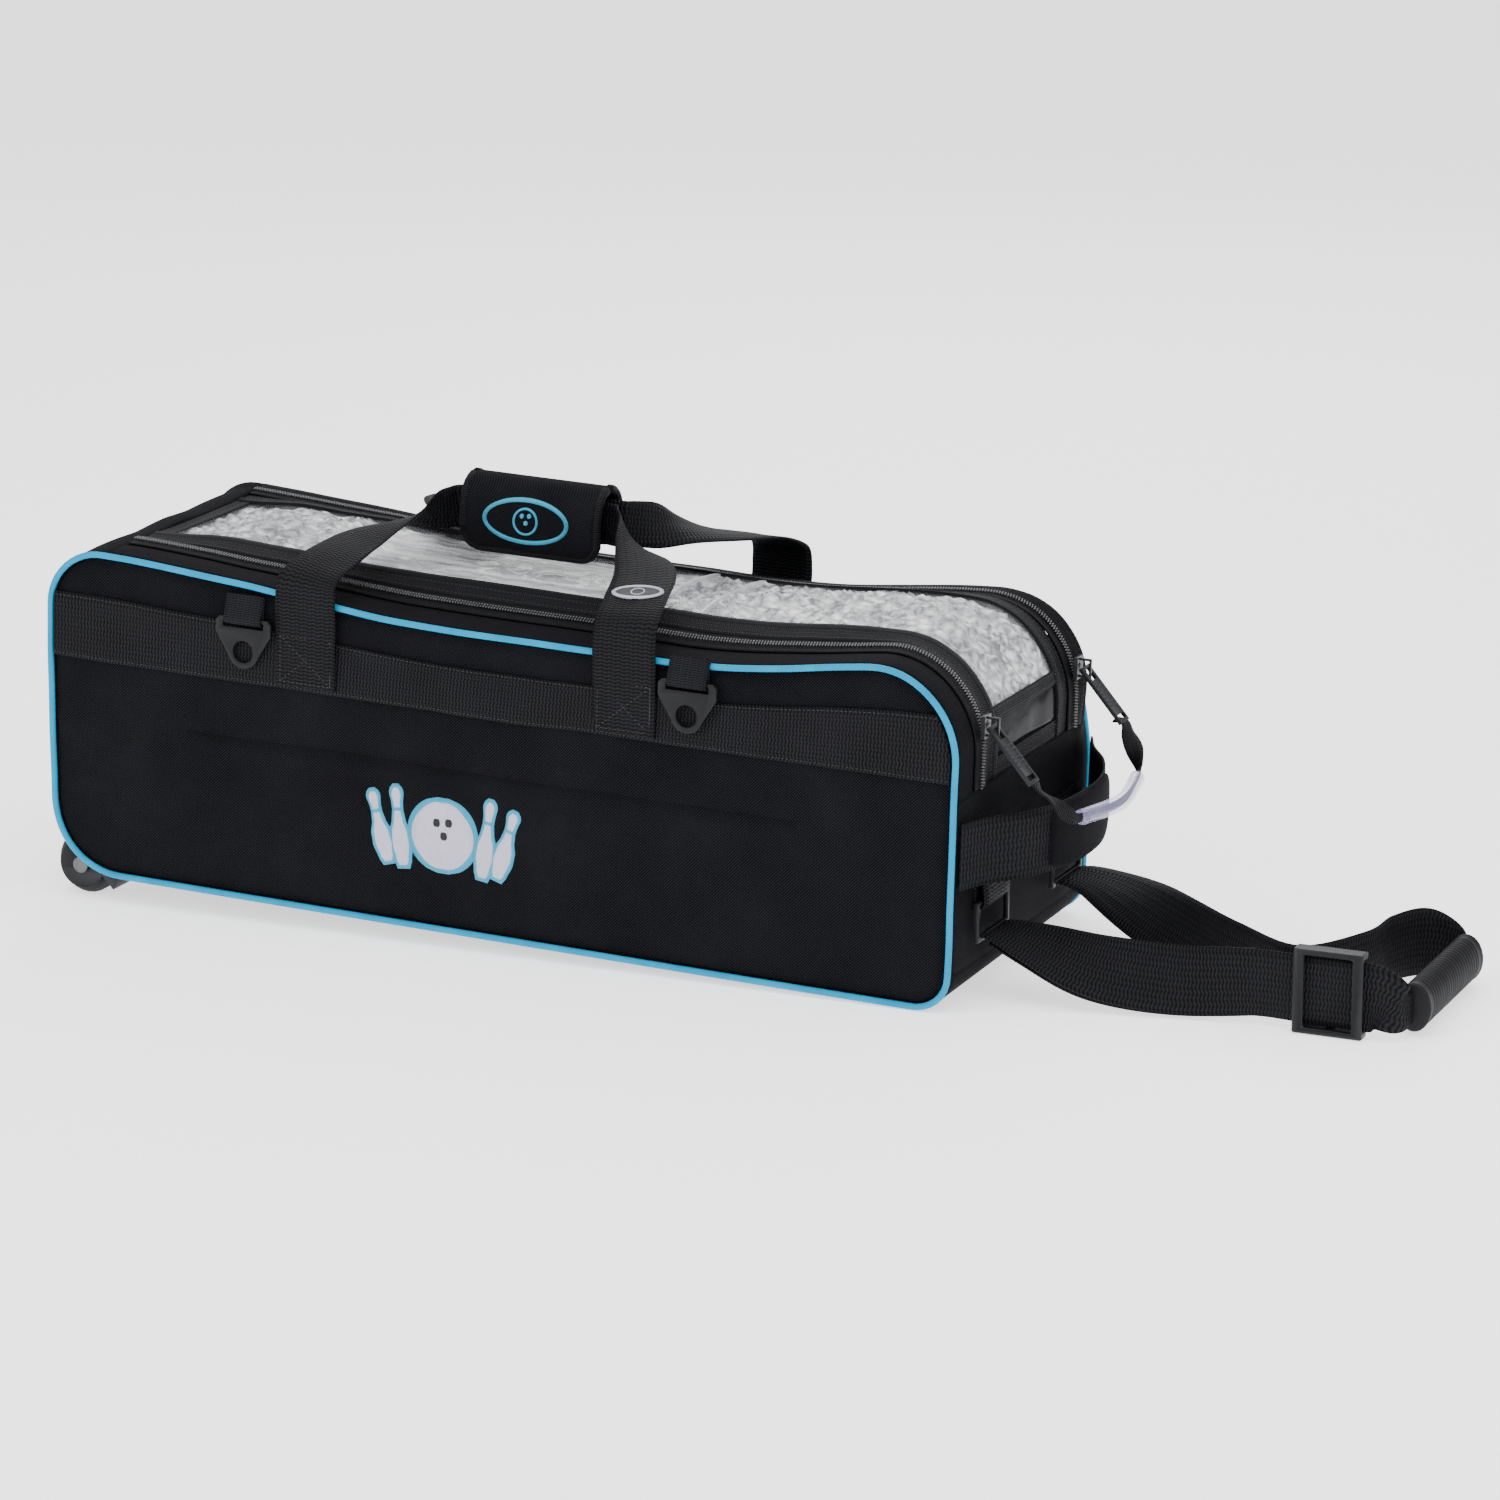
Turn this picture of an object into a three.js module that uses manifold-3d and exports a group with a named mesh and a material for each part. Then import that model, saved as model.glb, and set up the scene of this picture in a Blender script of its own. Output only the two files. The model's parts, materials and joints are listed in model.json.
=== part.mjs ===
// Rolling bowling bag for three balls: a long soft tote with two wheels under one
// end, a pull strap on the other end, a padded pair of carry handles over the top
// and a zipped lid with a clear window.  Millimetres, +X towards the pull end,
// -Y the front side, +Z up.  The bag stands on its wheels and on the lower edge of
// its pull end, so its base slopes; the slope follows from the wheel's drop.
import * as THREE from 'three';
import { mergeVertices } from 'three/addons/utils/BufferGeometryUtils.js';
import Module from 'manifold-3d';

const wasm = await Module();
wasm.setup();

// ---- driving dimensions -------------------------------------------------
const GAP = 0.3;                 // between pieces that touch

// shell
const LENGTH = 745;              // side panel, end to end
const WIDTH = 275;               // over the two side panels
const HEIGHT = 255;              // side panel, base to top
const CORNER_BASE_PULL = 28;     // side panel corner radii
const CORNER_TOP_PULL = 72;
const CORNER_TOP_WHEEL = 45;
const CORNER_BASE_WHEEL = 60;
const PANEL_T = 5;               // padded side panel
const GUSSET_T = 4;              // band that joins the side panels
const PIPING_R = 3;
const PIPING_PROUD = 1.2;        // piping outside the gusset
const ARC_STEP = 11;             // degrees between points on a corner

// lid
const ZIP_INSET = 43.5;          // zip line inside the side panel's face
const ZIP_Y = WIDTH / 2 - ZIP_INSET;
const ZIP_TAPE = 11.5;           // one tape with its coil
const ZIP_T = 2;
const COIL_PROUD = 1.2;
const LID_BORDER = 20;           // black border beside the window
const LID_T = 3;
const WINDOW_T = 1.2;
const FILM_T = 9;                // crumpled packing film under the window
const FILM_DROP = 4.4;           // film below the lid's outer face
const LID_START = 50;            // lid from the wheel end of the bag
const LID_FOLD_X = 160;          // line where the lid folds
const LID_DROP = 97;             // lower edge of the lid on the pull end, below the top
const LID_TIP_Z = HEIGHT - LID_DROP;
const LID_HEM = 14;              // border at the lid's ends
const PATCH_DROP = 23;           // end patch: its upper seam below the top
const PATCH_TOP = HEIGHT - PATCH_DROP;
const FOLD_GAP = 1;              // between the fixed and the folding lid

// zip handle
const SLIDER_DROP = 50;          // sliders below the top
const SLIDER_Z = HEIGHT - SLIDER_DROP;
const SLIDER_L = 17;
const SLIDER_W = 12;
const SLIDER_T = 3.2;
const BAIL_REACH = 9;            // slider's bail, out from the slider
const BAIL_H = 15;
const BAIL_ROD = 1.8;
const TAB_L = 50;
const TAB_W = 17;
const TAB_T = 2.6;
const TAB_EYE = 11;
const TAB_LEAN = 42;             // degrees from hanging straight down
const BRIDGE_W = 15;
const BRIDGE_T = 2;
const BRIDGE_IN_GRIP = 4.6;
const TUBE_R = 6;
const TUBE_BORE = 3.9;
const TUBE_INSET = 36;           // tube's ends inside the zip lines
const TUBE_HALF = ZIP_Y - TUBE_INSET;
const TUBE_OUT = 66;             // tube's ends, out from the pull end
const TUBE_BOW = 9;              // tube's middle, further out than its ends
const TUBE_DROP = 68;            // tube below the sliders
const TUBE_Z = SLIDER_Z - TUBE_DROP;

// webbing on the sides
const WEBBING = 50;
const WEBBING_T = 1.6;
const BAND_DROP = 59;            // middle of the side band below the top
const BAND_Z = HEIGHT - BAND_DROP;
const LEG_X = [-150, 112];       // handle legs on the side band
const FOOT_DROP = 22;            // sewn foot below the band's middle
const HINGE_DROP = 19;           // line where the handle legs fold, below the top
const HINGE_Z = HEIGHT - HINGE_DROP;
const LEG_OUT = 3.4;             // leg's middle outside the foot's face
const HINGE_OUT = 6.2;           // fold line outside the side panel's face
const BAR_Y = 6;
const BAR_RISE = 39;             // middle of the hand wrap above the top
const BAR_Z = HEIGHT + BAR_RISE;
const BAR_H = 32;
const BAR_X = [-96, 46];

// hand wrap
const WRAP_SHORT = 8;            // wrap's ends inside the bar's ends
const WRAP_X = [BAR_X[0] + WRAP_SHORT, BAR_X[1] - WRAP_SHORT];
const WRAP_H = 60;
const WRAP_D = 42;
const WRAP_WALL = 6.5;

// triangle rings on the front
const RING_DROP = 35;            // rings' upper bars below the top
const RING_BAR_Z = HEIGHT - RING_DROP;
const RING_W = 46;
const RING_GAP = 3.5;            // ring beside the leg
const RING_OFF_LEG = WEBBING / 2 + RING_W / 2 + RING_GAP;
const RING_X = [LEG_X[0] - RING_OFF_LEG, LEG_X[1] + RING_OFF_LEG];
const RING_H = 38;
const RING_T = 3;
const RING_HOLE_R = 8.5;
const RING_SLOT_H = 6;
const RING_LOOP_W = 31;
const RING_LOOP_H = 20;

// pull end handle
const END_HANDLE_DROP = 41;      // end handle's middle below the lid's edge
const END_HANDLE_Z = LID_TIP_Z - END_HANDLE_DROP;
const END_HANDLE_OUT = 46;
const END_HANDLE_T = 2.4;
const SLEEVE_HALF = 58;
const SLEEVE_T = 11;
const SLEEVE_OVER = 6;
const SLEEVE_H = WEBBING + SLEEVE_OVER;

// wheels
const WHEEL_R = 25;
const WHEEL_W = 21;
const HUB_R = 14;
const WHEEL_DROP = 22;           // wheel below the bag's base
const WHEEL_INSET = 21;          // axle from the wheel end of the bag
const WHEEL_SIDE = 26;           // wheel's middle from the side panel's face
const WHEEL_CLEAR = 2.5;
const HOUSING_WALL = 5;
const HOUSING_HALF = 18;
const HOUSING_MOUTH = 8;         // its open edge, above the axle
const AXLE_R = 3.8;
const AXLE_CLEAR = 0.35;
const RIVET_R = 6.5;
const RIVET_T = 2;
const CHEEK_R = 19;

// inside
const BOARD_T = 4;
const FOAM_T = 9;
const DISH_DEPTH = 5;
const BALL_R = 108;
const DIVIDER_T = 8;
const DIVIDER_H = 150;

// pull strap
const ANCHOR_INSET = 36.5;       // anchors' outer edges inside the side panel's face
const ANCHOR_Y = WIDTH / 2 - ANCHOR_INSET - WEBBING / 2;
const ANCHOR_DROP = 18;          // ring's upper bar below the end handle's lower edge
const ANCHOR_Z = END_HANDLE_Z - WEBBING / 2 - ANCHOR_DROP;
const ANCHOR_H = 30;
const LOOP_RING_H = 26;
const LOOP_ROD = 2;
const STRAP_T = 1.8;
const STRAP_LAYER = 4;           // between the strap's two layers
const GLIDE_X = 263;             // adjuster's middle, out from the pull end
const GLIDE_IN = 5;              // adjuster nearer the middle than the front anchor
const GLIDE_Y = GLIDE_IN - ANCHOR_Y;
const GLIDE_L = 52;
const GLIDE_D = 13;
const GLIDE_BAR = 8;
const GLIDE_BAR_T = 3;
const GLIDE_RAIL = 4.5;
const GLIDE_PLAY = 2;            // strap's edges inside the rails
const GLIDE_H = WEBBING + 2 * GLIDE_PLAY + 2 * GLIDE_RAIL;
const GRIP_X = 318;
const GRIP_FROM_GLIDE = 21;
const GRIP_PAST_ANCHOR = 8;
const GRIP_Y = [GLIDE_Y + GRIP_FROM_GLIDE, ANCHOR_Y + GRIP_PAST_ANCHOR];
const GRIP_BELOW_STRAP = 4.6;
const GRIP_A = 18;               // half height
const GRIP_B = 13;               // half depth
const GRIP_WALL = 4.5;
const STRAP_IN_GRIP = 20;
const STRAP_NEAR_GRIP = 32;
const STRAP_OFF_GROUND = 0.6;

// ---- colours --------------------------------------------------------------
const finish = (color, roughness, metalness = 0) => ({ color, roughness, metalness });
const FABRIC = finish(0x131317, 0.85);
const WEB = finish(0x0d0d0f, 0.8);
const PIPE = finish(0x23a9d6, 0.5);
const COIL = finish(0x0a0a0b, 0.5);
const VINYL = finish(0xe6e8ec, 0.1);
const FILM = finish(0xdfe2e6, 0.35);
const PLASTIC = finish(0x2a2b2e, 0.5);
const TUBE = finish(0x9a93c8, 0.15);
const FOAM = finish(0x3a3a3d, 0.95);
const BOARD = finish(0x202124, 0.6);
const TYRE = finish(0x1c1c1e, 0.9);
const STEEL = finish(0x9a9da1, 0.35, 0.9);
const RUBBER = finish(0x242528, 0.7);

// ---- solids -----------------------------------------------------------------
const rad = THREE.MathUtils.degToRad;
const vec = (x, y, z) => new THREE.Vector3(x, y, z);

function toSolid(geometry) {
  const bare = geometry.clone();
  bare.deleteAttribute('normal');
  bare.deleteAttribute('uv');
  const merged = mergeVertices(bare, 1e-4);
  return new wasm.Manifold(new wasm.Mesh({
    numProp: 3,
    vertProperties: new Float32Array(merged.attributes.position.array),
    triVerts: new Uint32Array(merged.index.array),
  }));
}

function toGeometry(solid) {
  const mesh = solid.getMesh();
  const geometry = new THREE.BufferGeometry();
  geometry.setAttribute('position', new THREE.BufferAttribute(mesh.vertProperties, 3));
  geometry.setIndex(new THREE.BufferAttribute(mesh.triVerts, 1));
  return geometry;
}

function cut(base, ...tools) {
  return toGeometry(tools.reduce((left, tool) => left.subtract(toSolid(tool)), toSolid(base)));
}

function fuse(base, ...others) {
  return toGeometry(others.reduce((sum, other) => sum.add(toSolid(other)), toSolid(base)));
}

function common(base, other) {
  return toGeometry(toSolid(base).intersect(toSolid(other)));
}

function box(x0, x1, y0, y1, z0, z1) {
  const geometry = new THREE.BoxGeometry(x1 - x0, y1 - y0, z1 - z0);
  return geometry.translate((x0 + x1) / 2, (y0 + y1) / 2, (z0 + z1) / 2);
}

// an outline in the XZ plane, carried across the bag from y0 to y1
function across(points, y0, y1, holes = []) {
  const shape = new THREE.Shape(points.map(([x, z]) => new THREE.Vector2(x, z)));
  for (const hole of holes) {
    shape.holes.push(new THREE.Path(hole.map(([x, z]) => new THREE.Vector2(x, z))));
  }
  const geometry = new THREE.ExtrudeGeometry(shape, { depth: y1 - y0, bevelEnabled: false });
  return geometry.rotateX(Math.PI / 2).translate(0, y1, 0);
}

// a cylinder whose axis runs across the bag
function drum(x, z, radius, y0, y1, sides = 28) {
  const geometry = new THREE.CylinderGeometry(radius, radius, y1 - y0, sides);
  return geometry.translate(x, (y0 + y1) / 2, z);
}

function circle(x, z, radius, sides = 20) {
  return Array.from({ length: sides }, (_, i) => {
    const angle = (2 * Math.PI * i) / sides;
    return [x + radius * Math.cos(angle), z + radius * Math.sin(angle)];
  });
}

function rectangle(x0, x1, z0, z1) {
  return [[x0, z0], [x1, z0], [x1, z1], [x0, z1]];
}

// a convex section carried along a row of frames { origin, u, v }
function sweep(frames, sections, closed = false) {
  const count = sections[0].length;
  const positions = [];
  frames.forEach(({ origin, u, v }, i) => {
    for (const [a, b] of sections[i]) {
      const point = origin.clone().addScaledVector(u, a).addScaledVector(v, b);
      positions.push(point.x, point.y, point.z);
    }
  });
  const index = [];
  const spans = closed ? frames.length : frames.length - 1;
  for (let i = 0; i < spans; i++) {
    const next = ((i + 1) % frames.length) * count;
    for (let j = 0; j < count; j++) {
      const k = (j + 1) % count;
      index.push(i * count + j, i * count + k, next + k);
      index.push(i * count + j, next + k, next + j);
    }
  }
  if (!closed) {
    const last = (frames.length - 1) * count;
    for (let j = 1; j < count - 1; j++) {
      index.push(0, j + 1, j);
      index.push(last, last + j, last + j + 1);
    }
  }
  const geometry = new THREE.BufferGeometry();
  geometry.setAttribute('position', new THREE.Float32BufferAttribute(positions, 3));
  geometry.setIndex(index);
  return geometry;
}

function flatSection(width, thickness) {
  const [a, b] = [width / 2, thickness / 2];
  return [[-a, -b], [a, -b], [a, b], [-a, b]];
}

function roundSection(a, b, sides) {
  return circle(0, 0, 1, sides).map(([c, s]) => [a * c, b * s]);
}

// frames on a smooth curve through the stops; each stop is
// { at: [x, y, z], wide: [x, y, z] } and wide points along the strap's width
function framesThrough(stops, steps) {
  const curve = new THREE.CatmullRomCurve3(stops.map((stop) => vec(...stop.at)), false, 'centripetal');
  return Array.from({ length: steps + 1 }, (_, i) => {
    const t = i / steps;
    const place = t * (stops.length - 1);
    const from = Math.min(Math.floor(place), stops.length - 2);
    const along = curve.getTangent(t);
    const wide = vec(...stops[from].wide).lerp(vec(...stops[from + 1].wide), place - from);
    const u = wide.addScaledVector(along, -wide.dot(along)).normalize();
    return { origin: curve.getPoint(t), u, v: along.clone().cross(u), place };
  });
}

// flat strap through the stops; a stop may give its own width
function strap(stops, width, thickness, steps) {
  const frames = framesThrough(stops, steps);
  const widthAt = (place) => {
    const from = Math.min(Math.floor(place), stops.length - 2);
    const [w0, w1] = [stops[from].width ?? width, stops[from + 1].width ?? width];
    return w0 + (w1 - w0) * (place - from);
  };
  return sweep(frames, frames.map(({ place }) => flatSection(widthAt(place), thickness)));
}

function tubeThrough(stops, a, b, sides, steps) {
  const frames = framesThrough(stops, steps);
  return sweep(frames, frames.map(() => roundSection(a, b, sides)));
}

// ---- scene graph --------------------------------------------------------------
const bowlingBag = new THREE.Group();
const names = new Set();

function add(group, name, geometry, look) {
  if (names.has(name)) throw new Error(`two pieces are called ${name}`);
  names.add(name);
  const mesh = new THREE.Mesh(geometry, new THREE.MeshStandardMaterial(look));
  mesh.name = name;
  group.add(mesh);
  return mesh;
}

// a group whose origin is a joint; its pieces are given in the parent's own frame
function jointGroup(parent, name, x, y, z) {
  const pivot = new THREE.Group();
  pivot.name = name;
  pivot.position.set(x, y, z);
  const inside = new THREE.Group();
  inside.position.set(-x, -y, -z);
  pivot.add(inside);
  parent.add(pivot);
  return inside;
}

// the bag turns about the middle of its lower pull-end corner until the wheels
// and that corner's piping stand on the ground, z = 0
const halfLength = LENGTH / 2;
const halfWidth = WIDTH / 2;
const restCorner = { x: halfLength - CORNER_BASE_PULL, z: CORNER_BASE_PULL };
const axleX = WHEEL_INSET - halfLength;
const axleZ = WHEEL_R - WHEEL_DROP;

function groundSlope() {
  const run = restCorner.x - axleX;
  const rise = axleZ - restCorner.z;
  const wanted = WHEEL_R - PIPING_PROUD - restCorner.z;
  return Math.asin(wanted / Math.hypot(run, rise)) - Math.atan2(rise, run);
}

const slope = groundSlope();
const slopingPivot = new THREE.Group();
slopingPivot.position.set(restCorner.x, 0, restCorner.z + PIPING_PROUD);
slopingPivot.rotation.y = slope;
const bag = new THREE.Group();
bag.position.set(-restCorner.x, 0, -restCorner.z);
slopingPivot.add(bag);
bowlingBag.add(slopingPivot);

// ---- outline of the side panels ------------------------------------------------
// arc length runs from the middle of the base towards the pull end and round
const segments = (() => {
  const list = [];
  let start = 0;
  const put = (piece) => {
    list.push({ ...piece, start, end: start + piece.length });
    start += piece.length;
  };
  const line = (x0, z0, x1, z1) => {
    const length = Math.hypot(x1 - x0, z1 - z0);
    put({ kind: 'line', x0, z0, dx: (x1 - x0) / length, dz: (z1 - z0) / length, length });
  };
  const corner = (x, z, radius, from) => {
    put({ kind: 'corner', x, z, radius, from, length: (radius * Math.PI) / 2 });
  };
  const [a, b, c, d] = [CORNER_BASE_PULL, CORNER_TOP_PULL, CORNER_TOP_WHEEL, CORNER_BASE_WHEEL];
  line(0, 0, halfLength - a, 0);
  corner(halfLength - a, a, a, -90);
  line(halfLength, a, halfLength, HEIGHT - b);
  corner(halfLength - b, HEIGHT - b, b, 0);
  line(halfLength - b, HEIGHT, c - halfLength, HEIGHT);
  corner(c - halfLength, HEIGHT - c, c, 90);
  line(-halfLength, HEIGHT - c, -halfLength, d);
  corner(d - halfLength, d, d, 180);
  line(d - halfLength, 0, 0, 0);
  return list;
})();
const PULL_SIDE = segments[2];
const TOP = segments[4];
const WHEEL_SIDE_LINE = segments[6];

const onBase = (x) => (x >= 0 ? x : segments[8].end + x);
const onPullEnd = (z) => PULL_SIDE.start + z - CORNER_BASE_PULL;
const onTop = (x) => TOP.start + (halfLength - CORNER_TOP_PULL - x);
const onWheelEnd = (z) => WHEEL_SIDE_LINE.start + (HEIGHT - CORNER_TOP_WHEEL - z);

// point on the outline, moved inwards by depth
function outlinePoint(s, depth) {
  const piece = segments.find(({ end }) => s <= end + 1e-6) ?? segments.at(-1);
  const along = s - piece.start;
  if (piece.kind === 'line') {
    return [piece.x0 + piece.dx * along - piece.dz * depth, piece.z0 + piece.dz * along + piece.dx * depth];
  }
  const angle = rad(piece.from) + along / piece.radius;
  const radius = piece.radius - depth;
  return [piece.x + radius * Math.cos(angle), piece.z + radius * Math.sin(angle)];
}

function stations(s0, s1) {
  const list = [s0];
  for (const piece of segments) {
    const parts = piece.kind === 'corner' ? Math.ceil(90 / ARC_STEP) : 1;
    for (let i = 0; i <= parts; i++) {
      const s = piece.start + (piece.length * i) / parts;
      if (s > list.at(-1) + 0.05 && s < s1 - 0.05) list.push(s);
    }
  }
  list.push(s1);
  return list;
}

// part of the band round the bag, between two depths and from y0 to y1
function bandPiece(s0, s1, depth0, depth1, y0, y1) {
  const list = stations(s0, s1);
  const outer = list.map((s) => outlinePoint(s, depth0));
  const inner = list.map((s) => outlinePoint(s, depth1)).reverse();
  return across([...outer, ...inner], y0, y1);
}

const roundTrip = stations(0, segments.at(-1).end).slice(0, -1);
const outlineAt = (depth) => roundTrip.map((s) => outlinePoint(s, depth));

// ---- shell --------------------------------------------------------------------
const panelEdge = Math.max(GUSSET_T, 2 * PIPING_R - PIPING_PROUD) + GAP;
const gussetHalf = halfWidth - PIPING_R - 2 * GAP;
const panelOutline = outlineAt(panelEdge);
add(bag, 'front_panel', across(panelOutline, -halfWidth, PANEL_T - halfWidth), FABRIC);
add(bag, 'rear_panel', across(panelOutline, halfWidth - PANEL_T, halfWidth), FABRIC);

function piping(y) {
  const frames = roundTrip.map((s) => {
    const [x, z] = outlinePoint(s, PIPING_R - PIPING_PROUD);
    const [outX, outZ] = outlinePoint(s, 0);
    const u = vec(outX - x, 0, outZ - z).normalize();
    return { origin: vec(x, y, z), u, v: vec(0, 1, 0) };
  });
  return sweep(frames, frames.map(() => roundSection(PIPING_R, PIPING_R, 8)), true);
}
add(bag, 'front_piping', piping(-halfWidth), PIPE);
add(bag, 'rear_piping', piping(halfWidth), PIPE);

const wheelCornerFrom = onWheelEnd(CORNER_BASE_WHEEL);
const wheelCornerTo = segments[7].end;
const baseFrom = wheelCornerTo;
const baseLoop = segments.at(-1).end;
const pullEndFrom = onPullEnd(CORNER_BASE_PULL);

const baseMiddle = bandPiece(baseFrom + GAP, baseLoop, 0, GUSSET_T, -gussetHalf, gussetHalf);
const basePullHalf = bandPiece(0, pullEndFrom, 0, GUSSET_T, -gussetHalf, gussetHalf);
add(bag, 'base_panel', fuse(baseMiddle, basePullHalf), FABRIC);
add(bag, 'pull_end_panel',
  bandPiece(pullEndFrom + GAP, onPullEnd(LID_TIP_Z), 0, GUSSET_T, -gussetHalf, gussetHalf), FABRIC);
const lidStart = onTop(LID_START - halfLength);
add(bag, 'wheel_end_panel',
  bandPiece(lidStart + GAP, wheelCornerFrom, 0, GUSSET_T, -gussetHalf, gussetHalf), FABRIC);

// ---- wheels ----------------------------------------------------------------------
const housingR = WHEEL_R + WHEEL_CLEAR + HOUSING_WALL;
const pocketHalf = WHEEL_W / 2 + WHEEL_CLEAR / 2;
const wheelMiddle = halfWidth - WHEEL_SIDE;

const axleHalf = HOUSING_HALF + GAP + RIVET_T;

// room in the corner panel for the housing and the axle's heads
function wheelWindow(side) {
  const y = side * wheelMiddle;
  const round = (radius, half) => {
    const reach = half + 2 * GAP;
    return drum(axleX, axleZ, radius + 2 * GAP, y - reach, y + reach, 36);
  };
  return fuse(round(housingR, HOUSING_HALF), round(RIVET_R, axleHalf));
}
add(bag, 'wheel_corner_panel', cut(
  bandPiece(wheelCornerFrom + GAP, wheelCornerTo, 0, GUSSET_T, -gussetHalf, gussetHalf),
  wheelWindow(-1), wheelWindow(1),
), FABRIC);

// housing: a shell over the wheel's inner half, and two cheeks that hold the axle
function wheelHousing(side) {
  const y = side * wheelMiddle;
  const [y0, y1] = [y - HOUSING_HALF, y + HOUSING_HALF];
  const reach = 2 * housingR;
  const half = box(-reach, reach, y0 - 1, y1 + 1, HOUSING_MOUTH, reach)
    .rotateY(rad(45)).translate(axleX, 0, axleZ);
  const dome = common(drum(axleX, axleZ, housingR, y0, y1, 36), half);
  const cheeks = fuse(dome, drum(axleX, axleZ, CHEEK_R, y0, y1));
  const pocket = drum(axleX, axleZ, WHEEL_R + WHEEL_CLEAR, y - pocketHalf, y + pocketHalf, 36);
  return cut(cheeks, pocket, drum(axleX, axleZ, AXLE_R + AXLE_CLEAR, y0 - 1, y1 + 1, 20));
}

function axle(side) {
  const y = side * wheelMiddle;
  const pin = drum(axleX, axleZ, AXLE_R, y - axleHalf + RIVET_T / 4, y + axleHalf - RIVET_T / 4, 20);
  const frontHead = drum(axleX, axleZ, RIVET_R, y - axleHalf, y - axleHalf + RIVET_T, 20);
  const rearHead = drum(axleX, axleZ, RIVET_R, y + axleHalf - RIVET_T, y + axleHalf, 20);
  return fuse(pin, frontHead, rearHead);
}

function ringProfile(inner, outer, half, chamfer) {
  return [[inner, -half], [outer - chamfer, -half], [outer, chamfer - half],
    [outer, half - chamfer], [outer - chamfer, half], [inner, half], [inner, -half]]
    .map(([r, h]) => new THREE.Vector2(r, h));
}

for (const [side, label] of [[-1, 'front'], [1, 'rear']]) {
  const y = side * wheelMiddle;
  add(bag, `wheel_housing_${label}`, wheelHousing(side), PLASTIC);
  add(bag, `axle_${label}`, axle(side), STEEL);
  const wheel = jointGroup(bag, `wheel_${label}`, axleX, y, axleZ);
  const hub = new THREE.LatheGeometry(ringProfile(AXLE_R + AXLE_CLEAR, HUB_R, WHEEL_W / 2 - 1, 1), 28);
  const tyre = new THREE.LatheGeometry(ringProfile(HUB_R + GAP, WHEEL_R, WHEEL_W / 2, 2.5), 28);
  add(wheel, `wheel_hub_${label}`, hub.translate(axleX, y, axleZ), PLASTIC);
  add(wheel, `wheel_tyre_${label}`, tyre.translate(axleX, y, axleZ), TYRE);
}

// ---- lid and zips ---------------------------------------------------------------
const tapeOuter = ZIP_Y + ZIP_TAPE;
const tapeInner = ZIP_Y - ZIP_TAPE;
const windowHalf = tapeInner - LID_BORDER;
const lidTip = onPullEnd(LID_TIP_Z) + GAP;
const foldEnd = onTop(LID_FOLD_X + FOLD_GAP / 2);
const foldMain = onTop(LID_FOLD_X - FOLD_GAP / 2);

const between = (a, b) => [Math.min(a, b), Math.max(a, b)];

for (const [side, label] of [[-1, 'front'], [1, 'rear']]) {
  const strip = between(side * (tapeOuter + GAP), side * gussetHalf);
  const bagTape = between(side * (ZIP_Y + GAP), side * tapeOuter);
  const lidTape = between(side * (tapeInner + GAP), side * ZIP_Y);
  add(bag, `${label}_top_strip`, bandPiece(lidTip, lidStart, 0, GUSSET_T, ...strip), FABRIC);
  add(bag, `bag_zip_${label}`, bandPiece(lidTip, lidStart, -COIL_PROUD, ZIP_T, ...bagTape), COIL);
  add(bag, `lid_zip_${label}`, bandPiece(foldMain, lidStart, -COIL_PROUD, ZIP_T, ...lidTape), COIL);
}

function lidBorder(from, to, hems) {
  const plate = bandPiece(from, to, 0, LID_T, -tapeInner, tapeInner);
  return cut(plate, bandPiece(hems[0], hems[1], -LID_T, 2 * LID_T, -windowHalf, windowHalf));
}
const windowDepth = (LID_T - WINDOW_T) / 2;
const windowInside = windowHalf - GAP;

function lidSheet(from, to) {
  return bandPiece(from + GAP, to - GAP, windowDepth, windowDepth + WINDOW_T, -windowInside, windowInside);
}

function filmPad(from, to) {
  return bandPiece(from, to, FILM_DROP, FILM_DROP + FILM_T, -windowInside, windowInside);
}
const mainWindow = [foldMain + LID_HEM / 2, lidStart - LID_HEM];
add(bag, 'lid_border', lidBorder(foldMain, lidStart, mainWindow), FABRIC);
add(bag, 'lid_window', lidSheet(...mainWindow), VINYL);
add(bag, 'packing_film', filmPad(foldMain + LID_HEM / 2, lidStart - LID_HEM), FILM);

const lidEnd = jointGroup(bag, 'lid_end', LID_FOLD_X, 0, HEIGHT + COIL_PROUD);
const endWindow = [lidTip + LID_HEM, foldEnd - LID_HEM / 2];
const patchSeam = onPullEnd(HEIGHT - CORNER_TOP_PULL) + CORNER_TOP_PULL
  * Math.asin((PATCH_TOP - HEIGHT + CORNER_TOP_PULL) / CORNER_TOP_PULL);
add(lidEnd, 'lid_end_border', lidBorder(lidTip, foldEnd, endWindow), FABRIC);
add(lidEnd, 'lid_end_patch', lidSheet(endWindow[0], patchSeam), VINYL);
add(lidEnd, 'lid_end_window', lidSheet(patchSeam, endWindow[1]), VINYL);
add(lidEnd, 'packing_film_end', filmPad(patchSeam, endWindow[1]), FILM);

// slider: a block on the coil with a bail; the tab's eye hangs in the bail
const sliderX = halfLength + COIL_PROUD + GAP;
const bailX = sliderX + SLIDER_T;
const tabAxisX = bailX + (BAIL_REACH - BAIL_ROD) / 2;

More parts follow.
